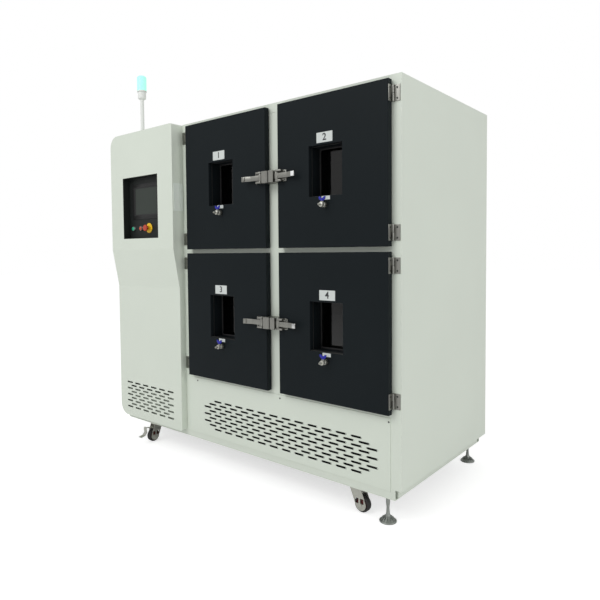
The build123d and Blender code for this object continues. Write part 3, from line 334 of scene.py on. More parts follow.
class Shape:
    """A piece's mesh under construction, in the frame's metres, with a material for each finish."""

    def __init__(self) -> None:
        """Start with no faces."""
        self.mesh = bmesh.new()
        self.finishes: list[Finish] = []

    def take(self, part: bmesh.types.BMesh, finish: Finish, place: Matrix) -> None:
        """Add a sub-shape.

        Args:
            part: Its mesh, which is freed.
            finish: What it is made of.
            place: Its place in the frame.
        """
        if finish not in self.finishes:
            self.finishes.append(finish)
        bmesh.ops.remove_doubles(part, verts=part.verts, dist=WELD)
        bmesh.ops.recalc_face_normals(part, faces=part.faces)
        for face in part.faces:
            face.material_index = self.finishes.index(finish)
            face.smooth = True
        for edge in part.edges:
            edge.smooth = edge.calc_face_angle(math.pi) < SMOOTH_ANGLE
        part.transform(place)
        holder = bpy.data.meshes.new("sub_shape")
        part.to_mesh(holder)
        part.free()
        self.mesh.from_mesh(holder)
        bpy.data.meshes.remove(holder)

    def box(self, low: Point, high: Point, finish: Finish, bevel: float = 0.0006) -> None:
        """Add a box with softened edges.

        Args:
            low: One corner.
            high: The opposite corner.
            finish: What it is made of.
            bevel: Width of the softened edges.
        """
        part = bmesh.new()
        bmesh.ops.create_cube(part, size=1.0)
        size = [abs(b - a) for a, b in zip(low, high)]
        bmesh.ops.scale(part, vec=size, verts=part.verts)
        width = min(bevel, BOX_SHARE * min(size))
        bmesh.ops.bevel(part, geom=part.edges[:], offset=width, segments=2, profile=0.5, affect="EDGES")
        self.take(part, finish, Matrix.Translation([(a + b) / 2 for a, b in zip(low, high)]))

    def lathe(self, profile: Sequence[Point], at: Point, axis: Axis, finish: Finish,
              sides: int = 40, soft: float = 0.0008) -> None:
        """Add a turned shape.

        Args:
            profile: Pairs of radius and height along the axis.
            at: Where height 0 lies.
            axis: Direction of growing height.
            finish: What it is made of.
            sides: Faces round the axis.
            soft: Radius of the softened corners.
        """
        part = bmesh.new()
        rows = []
        for radius, height in softened(profile, soft):
            count = 1 if radius < WELD else sides
            rows.append([part.verts.new((u, v, height)) for u, v in ring(radius, count)])
        for low, high in zip(rows, rows[1:]):
            for i in range(sides):
                near, far = (i % len(low), (i + 1) % len(low)), ((i + 1) % len(high), i % len(high))
                corners = list(dict.fromkeys([low[n] for n in near] + [high[n] for n in far]))
                if len(corners) > 2:
                    part.faces.new(corners)
        self.take(part, finish, Matrix.Translation(at) @ axis.value)

    def plate(self, outlines: Sequence[Sequence[Point]], thick: float, at: Point, axis: Axis,
              finish: Finish, bevel: float = 0.0004) -> None:
        """Add a flat plate whose inner outlines are holes.

        Args:
            outlines: Closed lines of pairs, the outer one first.
            thick: Thickness, raised from the plane.
            at: Where the plane's origin lies.
            axis: Direction in which the plate is raised.
            finish: What it is made of.
            bevel: Width of the softened edges.
        """
        curve = bpy.data.curves.new("plate", "CURVE")
        curve.dimensions, curve.fill_mode = "2D", "BOTH"
        curve.bevel_depth, curve.bevel_resolution = min(bevel, thick * PLATE_SHARE), 1
        curve.extrude = thick / 2 - curve.bevel_depth
        curve.offset = -curve.bevel_depth
        for outline in outlines:
            spline = curve.splines.new("POLY")
            spline.points.add(len(outline) - 1)
            for point, (u, v) in zip(spline.points, outline):
                point.co = (u, v, 0.0, 1.0)
            spline.use_cyclic_u = True
        middle = Matrix.Translation((0, 0, thick / 2))
        self.take(mesh_of(curve), finish, Matrix.Translation(at) @ axis.value @ middle)

    def bare(self, name: str) -> bpy.types.Object:
        """Make the object without finishes and without a place in the scene, as trees use it.

        Args:
            name: Name of the object.

        Returns:
            The object.
        """
        data = bpy.data.meshes.new(name)
        self.mesh.to_mesh(data)
        self.mesh.free()
        return bpy.data.objects.new(name, data)

    def finished(self, name: str, body: str, replaces: Sequence[str] = ()) -> None:
        """Make the object and let it ride.

        Args:
            name: Name of the piece.
            body: The CAD body that carries it.
            replaces: CAD nodes that it stands for.
        """
        piece = self.bare(name)
        for finish in self.finishes:
            piece.data.materials.append(finish.material())
        bpy.context.scene.collection.objects.link(piece)
        settle(piece, body, replaces)


def settle(piece: bpy.types.Object, body: str, replaces: Sequence[str] = ()) -> None:
    """Say what carries a finished piece.

    Args:
        piece: The object, at the origin.
        body: The CAD body that carries it.
        replaces: CAD nodes that it stands for.
    """
    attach(piece, body)
    if replaces:
        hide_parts(*replaces)
    LOG.info("%s rides on %s", piece.name, body)


@dataclass(frozen=True)
class ScrewHead:
    """Countersunk screw head with a round recess."""

    radius: float
    crown: float
    high: float
    bore: float
    bore_foot: float
    bore_floor: float
    sides: int = 16

    def sink(self, shape: Shape, at: Point, axis: Axis) -> None:
        """Add the head to a mesh.

        Args:
            shape: The mesh that gets it.
            at: Middle of the seat.
            axis: The outward direction.
        """
        line = [(0, 0), (self.radius, 0), (self.crown, self.high), (self.bore, self.high),
                (self.bore_foot, self.bore_floor), (0, self.bore_floor)]
        shape.lathe(line, at, axis, DARK_SCREW, self.sides, 0.0002)


DOOR_LEAF_SCREW = ScrewHead(0.0042, 0.0034, 0.0012, 0.0014, 0.0010, 0.0004)
FRAME_LEAF_SCREW = ScrewHead(0.0044, 0.0034, 0.0013, 0.0014, 0.0010, 0.0004)
LATCH_SCREW = ScrewHead(0.0040, 0.0030, 0.0016, 0.0012, 0.0010, 0.0008, 14)


@dataclass(frozen=True)
class HingeForm:
    """Sizes and screws that both leaves of a door hinge share."""

    inset: float = 0.058
    tall: float = 0.068
    thick: float = 0.003
    barrel: float = 0.005
    knuckle_gap: float = 0.0004
    screw_spread: float = 0.022

    def levels(self, low: Vector, high: Vector) -> tuple[float, float]:
        """Heights of a door's two hinges."""
        return low.z + self.inset, high.z - self.inset

    def screws(self, shape: Shape, head: ScrewHead, middle: Point, axis: Axis) -> None:
        """Add a leaf's two screws.

        Args:
            shape: The mesh that gets them.
            head: Their head.
            middle: The point half way between them.
            axis: The outward direction.
        """
        for level in (-self.screw_spread, self.screw_spread):
            head.sink(shape, (middle[0], middle[1], middle[2] + level), axis)


HINGE = HingeForm()


class RepeatTree:
    """A geometry node tree with named inputs that repeats a form on the points of its object."""

    def __init__(self, name: str, inputs: dict[str, str]) -> None:
        """Make the tree and its sockets.

        Args:
            name: Name of the tree.
            inputs: Socket name to socket type.
        """
        self.tree = bpy.data.node_groups.new(name, "GeometryNodeTree")
        face = self.tree.interface
        face.new_socket("Geometry", in_out="INPUT", socket_type="NodeSocketGeometry")
        self.keys = {label: face.new_socket(label, in_out="INPUT", socket_type=f"NodeSocket{kind}").identifier
                     for label, kind in inputs.items()}
        face.new_socket("Geometry", in_out="OUTPUT", socket_type="NodeSocketGeometry")
        self.source = self.tree.nodes.new("NodeGroupInput").outputs
        self.sink = self.tree.nodes.new("NodeGroupOutput").inputs[0]

    def add(self, kind: str, inputs: dict | None = None, **settings: object) -> bpy.types.Node:
        """Add a node, whose type is a geometry node's where it says nothing else."""
        full = kind if kind.startswith(("Shader", "Function")) else f"GeometryNode{kind}"
        return add_node(self.tree, full, inputs, **settings)

    def out(self, kind: str, inputs: dict | None = None, **settings: object) -> Socket:
        """Add a node and give its first output."""
        return self.add(kind, inputs, **settings).outputs[0]

    def join(self, *parts: Socket) -> Socket:
        """Join geometries in their order.

        Args:
            parts: Their sockets.

        Returns:
            The joined geometry's socket.
        """
        node = self.add("JoinGeometry")
        for part in parts:
            self.tree.links.new(part, node.inputs[0])
        return node.outputs[0]

    def put(self, points: Socket, instance: Socket, rotation: Socket | None = None) -> Socket:
        """Set an instance on every point.

        Args:
            points: Socket of the points.
            instance: Socket of the form.
            rotation: Socket of its turn, if it has one.

        Returns:
            The instances' socket.
        """
        turn = {"Rotation": rotation} if rotation else {}
        return self.out("InstanceOnPoints", {"Points": points, "Instance": instance, **turn})

    def close(self, instances: Socket, edges: Socket | None = None) -> None:
        """End the tree in Realize Instances and Set Material.

        Args:
            instances: The socket that gives the instances.
            edges: The faces that get the painted edge shade, if any do.
        """
        real = self.out("RealizeInstances", {"Geometry": instances})
        painted = self.out("SetMaterial", {"Geometry": real, "Material": self.source["Finish"]})
        if edges:
            painted = self.out("SetMaterial", {"Geometry": painted, "Selection": edges,
                                               "Material": self.source["Edge Finish"]})
        self.tree.links.new(painted, self.sink)

    def grow(self, name: str, points: Sequence[Point], values: dict[str, object], body: str,
             facing: Point = (), slot: str = "") -> None:
        """Run the tree on points and keep the result as a plain mesh.

        Args:
            name: Name of the piece.
            points: Where the form is repeated.
            values: Input name to value.
            body: The CAD body that carries the piece.
            facing: The outward direction at the points, where the tree asks for it.
            slot: Not used.
        """
        seeds = bpy.data.meshes.new(name)
        seeds.from_pydata([tuple(p) for p in points], [], [])
        if facing:
            for item in seeds.attributes.new("facing", "FLOAT_VECTOR", "POINT").data:
                item.vector = facing
        piece = bpy.data.objects.new(name, seeds)
        bpy.context.scene.collection.objects.link(piece)
        modifier = piece.modifiers.new("repeat", "NODES")
        modifier.node_group = self.tree
        for label, value in values.items():
            modifier[self.keys[label]] = value
        graph = bpy.context.evaluated_depsgraph_get()
        grown = bpy.data.meshes.new_from_object(piece.evaluated_get(graph), depsgraph=graph)
        piece.modifiers.clear()
        piece.data = grown
        bpy.data.meshes.remove(seeds)
        grown.name = name
        settle(piece, body)


class SlotTree(RepeatTree):
    """Rounds the ends of punched slots with fillers as thick as the sheet, and paints shade on the slots'
    walls and on a thin black rim round each slot.
    """

    LENGTH_FIT = 0.995
    HEIGHT_FIT = 0.96
    ROUND_SHARE = 0.499
    ROUND_STEPS = 4
    # A thin black rim round each slot: painted shade that darkens the slot's edge.
    RIM_GROWTH = 0.0015
    RIM_HIGH = 0.0003
    MERGE = 0.00001

    def __init__(self) -> None:
        """Build the tree."""
        super().__init__("slot_ends", {"Slot Length": "Float", "Slot Height": "Float", "Sheet": "Float",
                                       "Turn": "Vector", "Finish": "Material", "Edge Finish": "Material"})
        length, height, sheet = (self.source[key] for key in ("Slot Length", "Slot Height", "Sheet"))
        outer = self.out("CurvePrimitiveQuadrilateral", {"Width": length, "Height": height})
        slot = self._obround(self._sum(length, self.LENGTH_FIT, "MULTIPLY"),
                             self._sum(height, self.HEIGHT_FIT, "MULTIPLY"))
        grown = [self._sum(size, self.RIM_GROWTH, "ADD") for size in (length, height)]
        rim, _ = self._pierced(self._obround(*grown), slot, self.RIM_HIGH)
        lift = self.out("ShaderNodeCombineXYZ", {"Z": sheet})
        lifted = self.out("Transform", {"Geometry": rim, "Translation": lift})
        filler, walls = self._pierced(outer, slot, sheet)
        form = self.join(self._mark(filler, walls), self._mark(lifted, True))
        turn = self.out("FunctionNodeEulerToRotation", {0: self.source["Turn"]})
        edges = self.out("InputNamedAttribute", {"Name": "edge"}, data_type="BOOLEAN")
        self.close(self.put(self.source["Geometry"], form, turn), edges)

    def _sum(self, value: Socket, other: float, operation: str) -> Socket:
        """Reckon with a socket and a number."""
        return self.out("ShaderNodeMath", {0: value, 1: other}, operation=operation)

    def _mark(self, part: Socket, faces: object) -> Socket:
        """Mark the faces that get the painted edge shade.

        Args:
            part: Socket of the geometry.
            faces: Socket or value of the choice.

        Returns:
            The marked geometry's socket.
        """
        return self.out("StoreNamedAttribute", {"Geometry": part, "Name": "edge", "Value": faces},
                        data_type="BOOLEAN", domain="FACE")

    def _obround(self, length: Socket, height: Socket) -> Socket:
        """Outline of a round-ended slot.

        Args:
            length: Socket of the slot's length.
            height: Socket of the slot's height.

        Returns:
            The outline's socket.
        """
        sides = self.out("CurvePrimitiveQuadrilateral", {"Width": length, "Height": height})
        radius = self._sum(height, self.ROUND_SHARE, "MULTIPLY")
        return self.out("FilletCurve", {"Curve": sides, "Radius": radius, "Count": self.ROUND_STEPS},
                        mode="POLY")

    def _pierced(self, outer: Socket, inner: Socket, thick: object) -> tuple[Socket, Socket]:
        """Closed flat solid between two outlines.

        Args:
            outer: Socket of the outer outline.
            inner: Socket of the hole's outline.
            thick: Socket or value of the thickness.

        Returns:
            The solid's socket and the choice of its side faces.
        """
        filled = self.out("FillCurve", {"Curve": self.join(outer, inner)})
        raised = self.add("ExtrudeMesh", {"Mesh": filled, "Offset Scale": thick, "Individual": False})
        under = self.out("FlipFaces", {"Mesh": filled})
        both = self.join(raised.outputs[0], under)
        solid = self.out("MergeByDistance", {"Geometry": both, "Distance": self.MERGE})
        return solid, raised.outputs["Side"]


def fastener_tree() -> RepeatTree:
    """Tree that sets a screw on every point, facing outwards, each recess turned at random.

    Returns:
        The tree.
    """
    made = RepeatTree("fasteners", {"Screw": "Object", "Seed": "Int", "Finish": "Material"})
    facing = made.out("InputNamedAttribute", {"Name": "facing"}, data_type="FLOAT_VECTOR")
    outward = made.out("FunctionNodeAlignRotationToVector", {"Vector": facing}, axis="Z")
    chance = made.add("FunctionNodeRandomValue", {"Seed": made.source["Seed"], 3: math.pi}, data_type="FLOAT")
    spin = made.out("FunctionNodeAxisAngleToRotation", {"Axis": (0.0, 0.0, 1.0), "Angle": chance.outputs[1]})
    turned = made.out("FunctionNodeRotateRotation", {0: outward, 1: spin}, rotation_space="LOCAL")
    screw = made.add("ObjectInfo", {"Object": made.source["Screw"]})
    made.close(made.put(made.source["Geometry"], screw.outputs["Geometry"], turned))
    return made


def radial_tree() -> RepeatTree:
    """Tree that stands radial ribs round each point.

    Returns:
        The tree.
    """
    made = RepeatTree("radial_ribs",
                      {"Count": "Int", "Radius": "Float", "Rib": "Object", "Finish": "Material"})
    circle = made.out("MeshCircle", {"Vertices": made.source["Count"], "Radius": made.source["Radius"]})
    outward = made.out("FunctionNodeAlignRotationToVector", {"Vector": made.out("InputPosition")}, axis="X",
                       pivot_axis="Z")
    rib = made.add("ObjectInfo", {"Object": made.source["Rib"]})
    star = made.put(circle, rib.outputs["Geometry"], outward)
    made.close(made.put(made.source["Geometry"], star))
    return made


def wire_tree() -> RepeatTree:
    """Tree that lays a row of thin rods, front to back, from each point along X.

    Returns:
        The tree.
    """
    made = RepeatTree("shelf_wires", {"Count": "Int", "Pitch": "Float", "Radius": "Float", "Length": "Float",
                                      "Finish": "Material"})
    step = made.out("ShaderNodeCombineXYZ", {"X": made.source["Pitch"]})
    line = made.out("MeshLine", {"Count": made.source["Count"], "Offset": step})
    rod = made.out("MeshCylinder", {"Vertices": 8, "Radius": made.source["Radius"],
                                    "Depth": made.source["Length"]})
    lay = made.out("FunctionNodeEulerToRotation", {0: (QUARTER, 0.0, 0.0)})
    made.close(made.put(made.source["Geometry"], made.put(line, rod, lay)))
    return made


@dataclass
class PhotoCamera:
    """Camera at the photograph's place and angle."""

    place: Point = (2.1075, -2.4785, 1.186)
    yaw: float = 39.96
    pitch: float = 2.38
    roll: float = -0.50
    lens: float = 32.8
    sensor: float = 36.0
    shift_x: float = 0.0168
    shift_y: float = -0.0423

    def build(self) -> None:
        """Make the camera and set it as the scene's."""
        yaw, pitch, roll = (math.radians(a) for a in (self.yaw, self.pitch, self.roll))
        ahead = Vector((-math.sin(yaw) * math.cos(pitch), math.cos(yaw) * math.cos(pitch), -math.sin(pitch)))
        right = Vector((math.cos(yaw), math.sin(yaw), 0.0))
        up = right.cross(ahead)
        level_right = math.cos(roll) * right + math.sin(roll) * up
        level_up = math.cos(roll) * up - math.sin(roll) * right
        data = bpy.data.cameras.new("photo_camera")
        data.lens, data.sensor_width = self.lens, self.sensor
        data.shift_x, data.shift_y = self.shift_x, self.shift_y
        camera = bpy.data.objects.new("photo_camera", data)
        turn = Matrix((level_right, level_up, -ahead)).transposed().to_4x4()
        camera.matrix_world = Matrix.Translation(self.place) @ turn
        bpy.context.scene.collection.objects.link(camera)
        bpy.context.scene.camera = camera


@dataclass
class SoftStudio:
    """Pale floor, white surroundings and two large soft lamps."""

    ambient: float = 0.60
    floor_size: float = 60.0
    floor_tone: float = 0.92
    floor_roughness: float = 0.9
    floor_glow: float = 2.02
    floor_glow_share: float = 0.32
    key_place: Point = (-1.2, -5.4, 5.0)
    key_watts: float = 135.0
    fill_place: Point = (6.5, -1.0, 3.0)
    fill_watts: float = 75.0
    lamp_size: float = 3.5
    aim: Point = (0.0, 0.0, 1.0)

    def build(self) -> None:
        """Make the world, the floor and the lamps."""
        bpy.context.scene.view_settings.view_transform = "Standard"
        self._world()
        self._floor()
        self._lamp("key_lamp", self.key_place, self.key_watts)
        self._lamp("fill_lamp", self.fill_place, self.fill_watts)

    def _world(self) -> None:
        """White for the camera and through glass, a level light for the rest."""
        world = bpy.data.worlds.new("soft_world")
        bpy.context.scene.world = world
        world.use_nodes = True
        tree = world.node_tree
        path = add_node(tree, "ShaderNodeLightPath").outputs
        seen = add_node(tree, "ShaderNodeMath", {0: path["Is Camera Ray"], 1: path["Is Transmission Ray"]},
                        operation="MAXIMUM")
        level = add_node(tree, "ShaderNodeMapRange",
                         {"Value": seen.outputs[0], "To Min": self.ambient, "To Max": 1.0})
        feed(tree, tree.nodes["Background"],
             {"Color": (1.0, 1.0, 1.0, 1.0), "Strength": level.outputs["Result"]})

    def _floor(self) -> None:
        """A wide pale sheet that stays white for the camera but keeps the shadow."""
        part = bmesh.new()
        bmesh.ops.create_grid(part, x_segments=1, y_segments=1, size=self.floor_size / 2)
        data = bpy.data.meshes.new("studio_floor")
        part.to_mesh(data)
        part.free()
        floor = bpy.data.objects.new("studio_floor", data)
        bpy.context.scene.collection.objects.link(floor)
        paint = bpy.data.materials.new("studio_floor_white")
        paint.use_nodes = True
        tree = paint.node_tree
        shader = feed(tree, tree.nodes["Principled BSDF"],
                      {"Base Color": (*[self.floor_tone] * 3, 1.0), "Roughness": self.floor_roughness})
        white = add_node(tree, "ShaderNodeEmission", {"Strength": self.floor_glow})
        path = add_node(tree, "ShaderNodeLightPath")
        share = add_node(tree, "ShaderNodeMath", {0: path.outputs["Is Camera Ray"], 1: self.floor_glow_share},
                         operation="MULTIPLY")
        mix = add_node(tree, "ShaderNodeMixShader",
                       {0: share.outputs[0], 1: shader.outputs[0], 2: white.outputs[0]})
        feed(tree, tree.nodes["Material Output"], {"Surface": mix.outputs[0]})
        data.materials.append(paint)

    def _lamp(self, name: str, place: Point, watts: float) -> None:
        """A square soft lamp aimed at the cabinet's middle.

        Args:
            name: Name of the lamp.
            place: Where it hangs.
            watts: Its power.
        """
        data = bpy.data.lights.new(name, "AREA")
        data.shape, data.size, data.energy = "SQUARE", self.lamp_size, watts
        lamp = bpy.data.objects.new(name, data)
        turn = (Vector(self.aim) - Vector(place)).to_track_quat("-Z", "Y")
        lamp.matrix_world = Matrix.Translation(place) @ turn.to_matrix().to_4x4()
        bpy.context.scene.collection.objects.link(lamp)


@dataclass
class CabinetDressing:
    """Punched slot ends with painted shade on their walls and rims, a black sheet of painted shade behind the
    lower grille, screws and wire shelves on the fixed cabinet.
    """

    slot_length: float = 0.054
    slot_height: float = 0.008
    pitch_x: float = 0.0823
    pitch_z: float = 0.0196
    sheet: float = 0.002
    panel_rows: tuple[int, ...] = (12, 13, 14, 13, 14, 13, 14, 13, 12)
    column_rows: tuple[int, ...] = (6, 5, 6, 5, 6, 5, 6, 5, 6)
    rear_rows: tuple[int, ...] = (4, 3, 4)
    panel_centre: Point = (0.332, 0.281)
    column_level: float = 0.286
    column_face: float = -0.4815
    rear_level: float = 1.721
    rear_split: float = 0.015
    # The black sheet behind the lower grille is painted shade: its half height, its inset from the panel's
    # sides and its depths behind the panel.
    shade_half_high: float = 0.105
    shade_inset: float = 0.04
    shade_depths: Point = (0.004, 0.009)
    screw_level: float = 0.457
    screw_places: tuple[float, ...] = (-0.2885, 0.3325, 0.9475)
    screw_radius: float = 0.0042
    screw_high: float = 0.0018
    screw_shares: Profile = ((0, 0), (1, 0), (1, 0.4), (0.7, 1), (0.4, 1), (0.32, 0.4), (0, 0.4))
    screw_soft: float = 0.2
    rear_screw_inset: Point = (0.02, 0.03)
    wire_count: int = 27
    wire_radius: float = 0.0016
    wire_sink: float = 1.4
    shelf_margin: float = 0.086
    shelf_high: float = 0.006
    shelf_rim: float = 0.004

    def build(self) -> None:
        """Build all the cabinet's small pieces."""
        self.panel, self.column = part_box("lower_grille_panel"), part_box("control_column")
        self.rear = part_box("rear_panels")
        self.split = self.column[1].x + self.rear_split
        self._slots()
        self._shade_sheet()
        self._screws()
        self._wires()

    def _pattern(self, rows: Sequence[int], x: float, y: float, z: float) -> list[Point]:
        """Centres of a staggered slot pattern.

        Args:
            rows: Slots in each row, from the top.
            x: Middle of every row.
            y: Back of the fillers.
            z: Middle of the rows.

        Returns:
            The centres.
        """
        places = []
        for index, count in enumerate(rows):
            level = z + ((len(rows) - 1) / 2 - index) * self.pitch_z
            places += [(x + (i - (count - 1) / 2) * self.pitch_x, y, level) for i in range(count)]
        return places

    def _slots(self) -> None:
        """Round the slot ends of the grilles."""
        tree = SlotTree()
        panel, column, rear = self.panel, self.column, self.rear
        back = (rear[0].y, self.rear_level, self.sheet, 2 * QUARTER)
        grilles = {
            "panel": (self.panel_rows, self.panel_centre[0], panel[1].y, self.panel_centre[1],
                      panel[1].y - panel[0].y, 0.0),
            "column": (self.column_rows, (column[0].x + column[1].x) / 2, self.column_face + self.sheet,
                       self.column_level, self.sheet, 0.0),
            "rear_left": (self.rear_rows, (rear[0].x + self.split) / 2, *back),
            "rear_right": (self.rear_rows, (rear[1].x + self.split) / 2, *back),
        }
        for name, (rows, x, y, z, sheet, turn) in grilles.items():
            # The slot walls and rims get the black painted shade.
            values = {"Slot Length": self.slot_length, "Slot Height": self.slot_height, "Sheet": sheet,
                      "Turn": (QUARTER, 0.0, turn), "Finish": SHELL_PAINT.material(),
                      "Edge Finish": SHADE_BLACK.material()}
            tree.grow(f"{name}_slot_ends", self._pattern(rows, x, y, z), values, "cabinet",
                      slot="cabinet_paint")

    def _shade_sheet(self) -> None:
        """Black sheet a little behind the lower grille: painted shade, seen through the slots in place of the
        cabinet's dark inside.
        """
        low, high = self.panel
        near, far = (high.y + depth for depth in self.shade_depths)
        level = self.panel_centre[1]
        # A black sheet of painted shade behind the slots.
        shade_sheet = Shape()
        shade_sheet.box((low.x + self.shade_inset, near, level - self.shade_half_high),
                (high.x - self.shade_inset, far, level + self.shade_half_high), SHADE_BLACK)
        shade_sheet.finished("grille_filter_mats", "cabinet")

    def _screws(self) -> None:
        """Panel screws in front and at the back."""
        tree = fastener_tree()
        high, rear = self.screw_high, self.rear
        head = Shape()
        head.lathe([(self.screw_radius * u, high * v) for u, v in self.screw_shares], (0, 0, 0), Axis.UP,
                   STEEL, sides=12, soft=high * self.screw_soft)
        template = head.bare("screw_template")
        aside, upright = self.rear_screw_inset
        front = [(x, self.panel[0].y, self.screw_level) for x in self.screw_places]
        levels = (rear[0].z + upright, (rear[0].z + rear[1].z) / 2, rear[1].z - upright)
        backs = [(x, rear[1].y, z) for low, high in ((rear[0].x, self.split), (self.split, rear[1].x))
                 for x in (low + aside, (low + high) / 2, high - aside) for z in levels]
        for name, places, out, finish, seed in (("front", front, (0, -1, 0), DARK_SCREW, 3),
                                                ("rear", backs, (0, 1, 0), STEEL, 5)):
            values = {"Screw": template, "Seed": seed, "Finish": finish.material()}
            tree.grow(f"{name}_panel_screws", places, values, "cabinet", facing=out)

    def _wires(self) -> None:
        """Thin wires on the shelves, one piece for the four chambers."""
        low, high, middle = span("sample_shelves")
        sink = self.wire_radius * self.wire_sink
        starts, reach = [], 0.0
        for row, top in (("upper", high.z), ("lower", low.z + self.shelf_high)):
            for side in SIDES:
                door_low, door_high, door_middle = span(f"door_panel_{row}_{side}")
                reach = door_high.x - door_low.x - self.shelf_margin
                starts.append((door_middle.x - reach / 2, middle.y, top - sink))
        pitch = reach / (self.wire_count - 1)
        values = {"Count": self.wire_count, "Pitch": pitch, "Radius": self.wire_radius,
                  "Length": high.y - low.y - self.shelf_rim, "Finish": STEEL.material()}
        wire_tree().grow("shelf_wires", starts, values, "cabinet", slot="shelf_steel")


@dataclass
class OperatorPanel:
    """Stepped bezel, pushbuttons and emergency stop in the recess."""

    step_wide: float = 0.010
    step_high: float = 0.0045
    outer_round: float = 0.006
    inner_round: float = 0.005
    hole_round: float = 0.001
    bush_radius: float = 0.0145
    bush_reach: float = 0.010
    bush_lip: float = 0.0012
    lip_shares: Point = (0.55, 0.75)
    cap_radius: float = 0.0113
    cap_gap: float = 0.0003
    cap_crown: Profile = ((1, 0.0025), (0.8, 0.0006), (0.5, 0), (0, 0))
    disc_radius: float = 0.030
    disc_thick: float = 0.003
    disc_bore: float = 0.0103
    collar_radius: float = 0.015
    stem_radius: float = 0.0098
    head_radius: float = 0.020
    head_high: float = 0.014
    head_flare: Point = (0.86, 0.003)
    head_crown: Profile = ((1, 0.006), (0.86, 0.0015), (0.5, 0), (0, 0))
    fine_sides: int = 56

    def build(self) -> None:
        """Build all the recess's pieces."""
        self._bezel()
        self._buttons()
        self._stop()

    def _bezel(self) -> None:
        """Moulded frame of the screen, in two steps."""
        seat, size = seat_of("hmi_bezel")
        step, (_, glass) = self.step_high, seat_of("hmi_screen")
        hole = rectangle(glass.x, glass.z, self.hole_round)
        shape = Shape()
        lower = (0, self.outer_round, 0, step, 0.0008)
        upper = (self.step_wide, self.inner_round, step, size.y - step, 0.0006)
        for inset, corner, foot, thick, bevel in (lower, upper):
            outline = rectangle(size.x - 2 * inset, size.z - 2 * inset, corner)
            at = (seat.x, seat.y - foot, seat.z)
            shape.plate([outline, hole], thick, at, Axis.FRONT, BEZEL_BLACK, bevel)
        shape.finished("screen_bezel", "cabinet", ["hmi_bezel"])

    def _buttons(self) -> None:
        """Bright rings of the pushbuttons and their domed caps."""
        rings = Shape()
        reach, outer, inner = self.bush_reach, self.bush_radius, self.cap_radius + self.cap_gap
        lip, face = outer - self.bush_lip, seat_of("button_bushes")[0].y
        low_share, high_share = self.lip_shares
        bush = [(inner, 0), (outer, 0), (outer, reach * low_share), (lip, reach * high_share), (lip, reach),
                (inner, reach), (inner, 0)]
        for name, finish, slot in (("red_button", CAP_RED, "button_red"),
                                   ("green_button", CAP_GREEN, "button_green")):
            seat, size = seat_of(name)
            rings.lathe(bush, (seat.x, face, seat.z), Axis.FRONT, CHROME, soft=0.0005)
            radius = size.x / 2
            dome = [(0, 0), (radius, 0), *crown(radius, size.y, self.cap_crown)]
            cap = Shape()
            cap.lathe(dome, seat, Axis.FRONT, finish, soft=0.0012)
            cap.finished(f"{name}_cap", name, [name])
        rings.finished("button_rings", "cabinet", ["button_bushes"])

    def _stop(self) -> None:
        """Yellow disc with its collar, and the mushroom head."""
        seat, size = seat_of("stop_plate")
        reach, bore, thick, collar = size.y, self.disc_bore, self.disc_thick, self.collar_radius
        disc = Shape()
        line = [(bore, 0), (self.disc_radius, 0), (self.disc_radius, thick), (collar, thick), (collar, reach),
                (bore, reach), (bore, 0)]
        disc.lathe(line, seat, Axis.FRONT, STOP_YELLOW, self.fine_sides)
        disc.finished("stop_disc", "cabinet", ["stop_plate"])
        seat, size = seat_of("emergency_stop")
        depth, radius, stem = size.y, self.head_radius, self.stem_radius
        under, (share, flare) = depth - self.head_high, self.head_flare
        head = Shape()
        line = [(0, 0), (stem, 0), (stem, under), (radius * share, under), (radius, under + flare),
                *crown(radius, depth, self.head_crown)]
        head.lathe(line, seat, Axis.FRONT, SIGNAL_RED, self.fine_sides, 0.002)
        head.finished("stop_head", "emergency_stop", ["emergency_stop"])


@dataclass
class SignalTower:
    """Foot, pole, collar and ribbed lit lens of the signal tower."""

    base_radius: float = 0.029
    pole_radius: float = 0.011
    collar_radius: float = 0.024
    lens_radius: float = 0.0285
    base_high: float = 0.009
    base_rim: float = 0.6
    flare: float = 0.004
    pole_high: float = 0.208
    pole_neck: float = 0.006
    collar_chamfer: Point = (0.002, 0.003)
    seat_high: float = 0.008
    seat_rim: float = 0.006
    seat_chamfer: float = 0.0015
    crown_high: float = 0.010
    crown_curve: Profile = ((0.002, 0.006), (0.008, 0))
    wave_count: int = 24
    wave_inset: float = 0.0004
    wave_depth: float = 0.0008

    def build(self) -> None:
        """Build the stem and the lens."""
        low, high, centre = span("tower_stem")
        top, base, pole, collar = high.z - low.z, self.base_radius, self.pole_radius, self.collar_radius
        foot_top, pole_top, (narrow, rise) = self.base_high, self.pole_high, self.collar_chamfer
        stem = Shape()
        line = [(0, 0), (base, 0), (base, foot_top * self.base_rim), (pole + self.flare, foot_top),
                (pole, foot_top + self.flare), (pole, pole_top - self.pole_neck),
                (collar - narrow, pole_top), (collar, pole_top + rise), (collar, top), (0, top)]
        stem.lathe(line, (centre.x, centre.y, low.z), Axis.UP, GREY_PLASTIC, 48, 0.0015)
        stem.finished("tower_post", "cabinet", ["tower_stem"])
        foot = Vector((centre.x, centre.y, high.z))
        low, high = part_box("tower_lens")
        foot.z = low.z
        tall, radius, seat = high.z - low.z, self.lens_radius, self.seat_high
        lens = Shape()
        rim = [(0, 0), (radius, 0), (radius, self.seat_rim), (radius - self.seat_chamfer, seat), (0, seat)]
        lens.lathe(rim, foot, Axis.UP, GREY_PLASTIC, 56, 0.0006)
        ribbed = tall - seat - self.crown_high
        waves = [(radius - self.wave_inset - self.wave_depth * (i % 2), seat + ribbed * i / self.wave_count)
                 for i in range(self.wave_count + 1)]
        line = [(0, seat), *waves, *[(radius - inset, tall - drop) for inset, drop in self.crown_curve],
                (0, tall)]
        lens.lathe(line, foot, Axis.UP, LENS, 56, 0.0004)
        lens.finished("tower_light", "cabinet", ["tower_lens"])


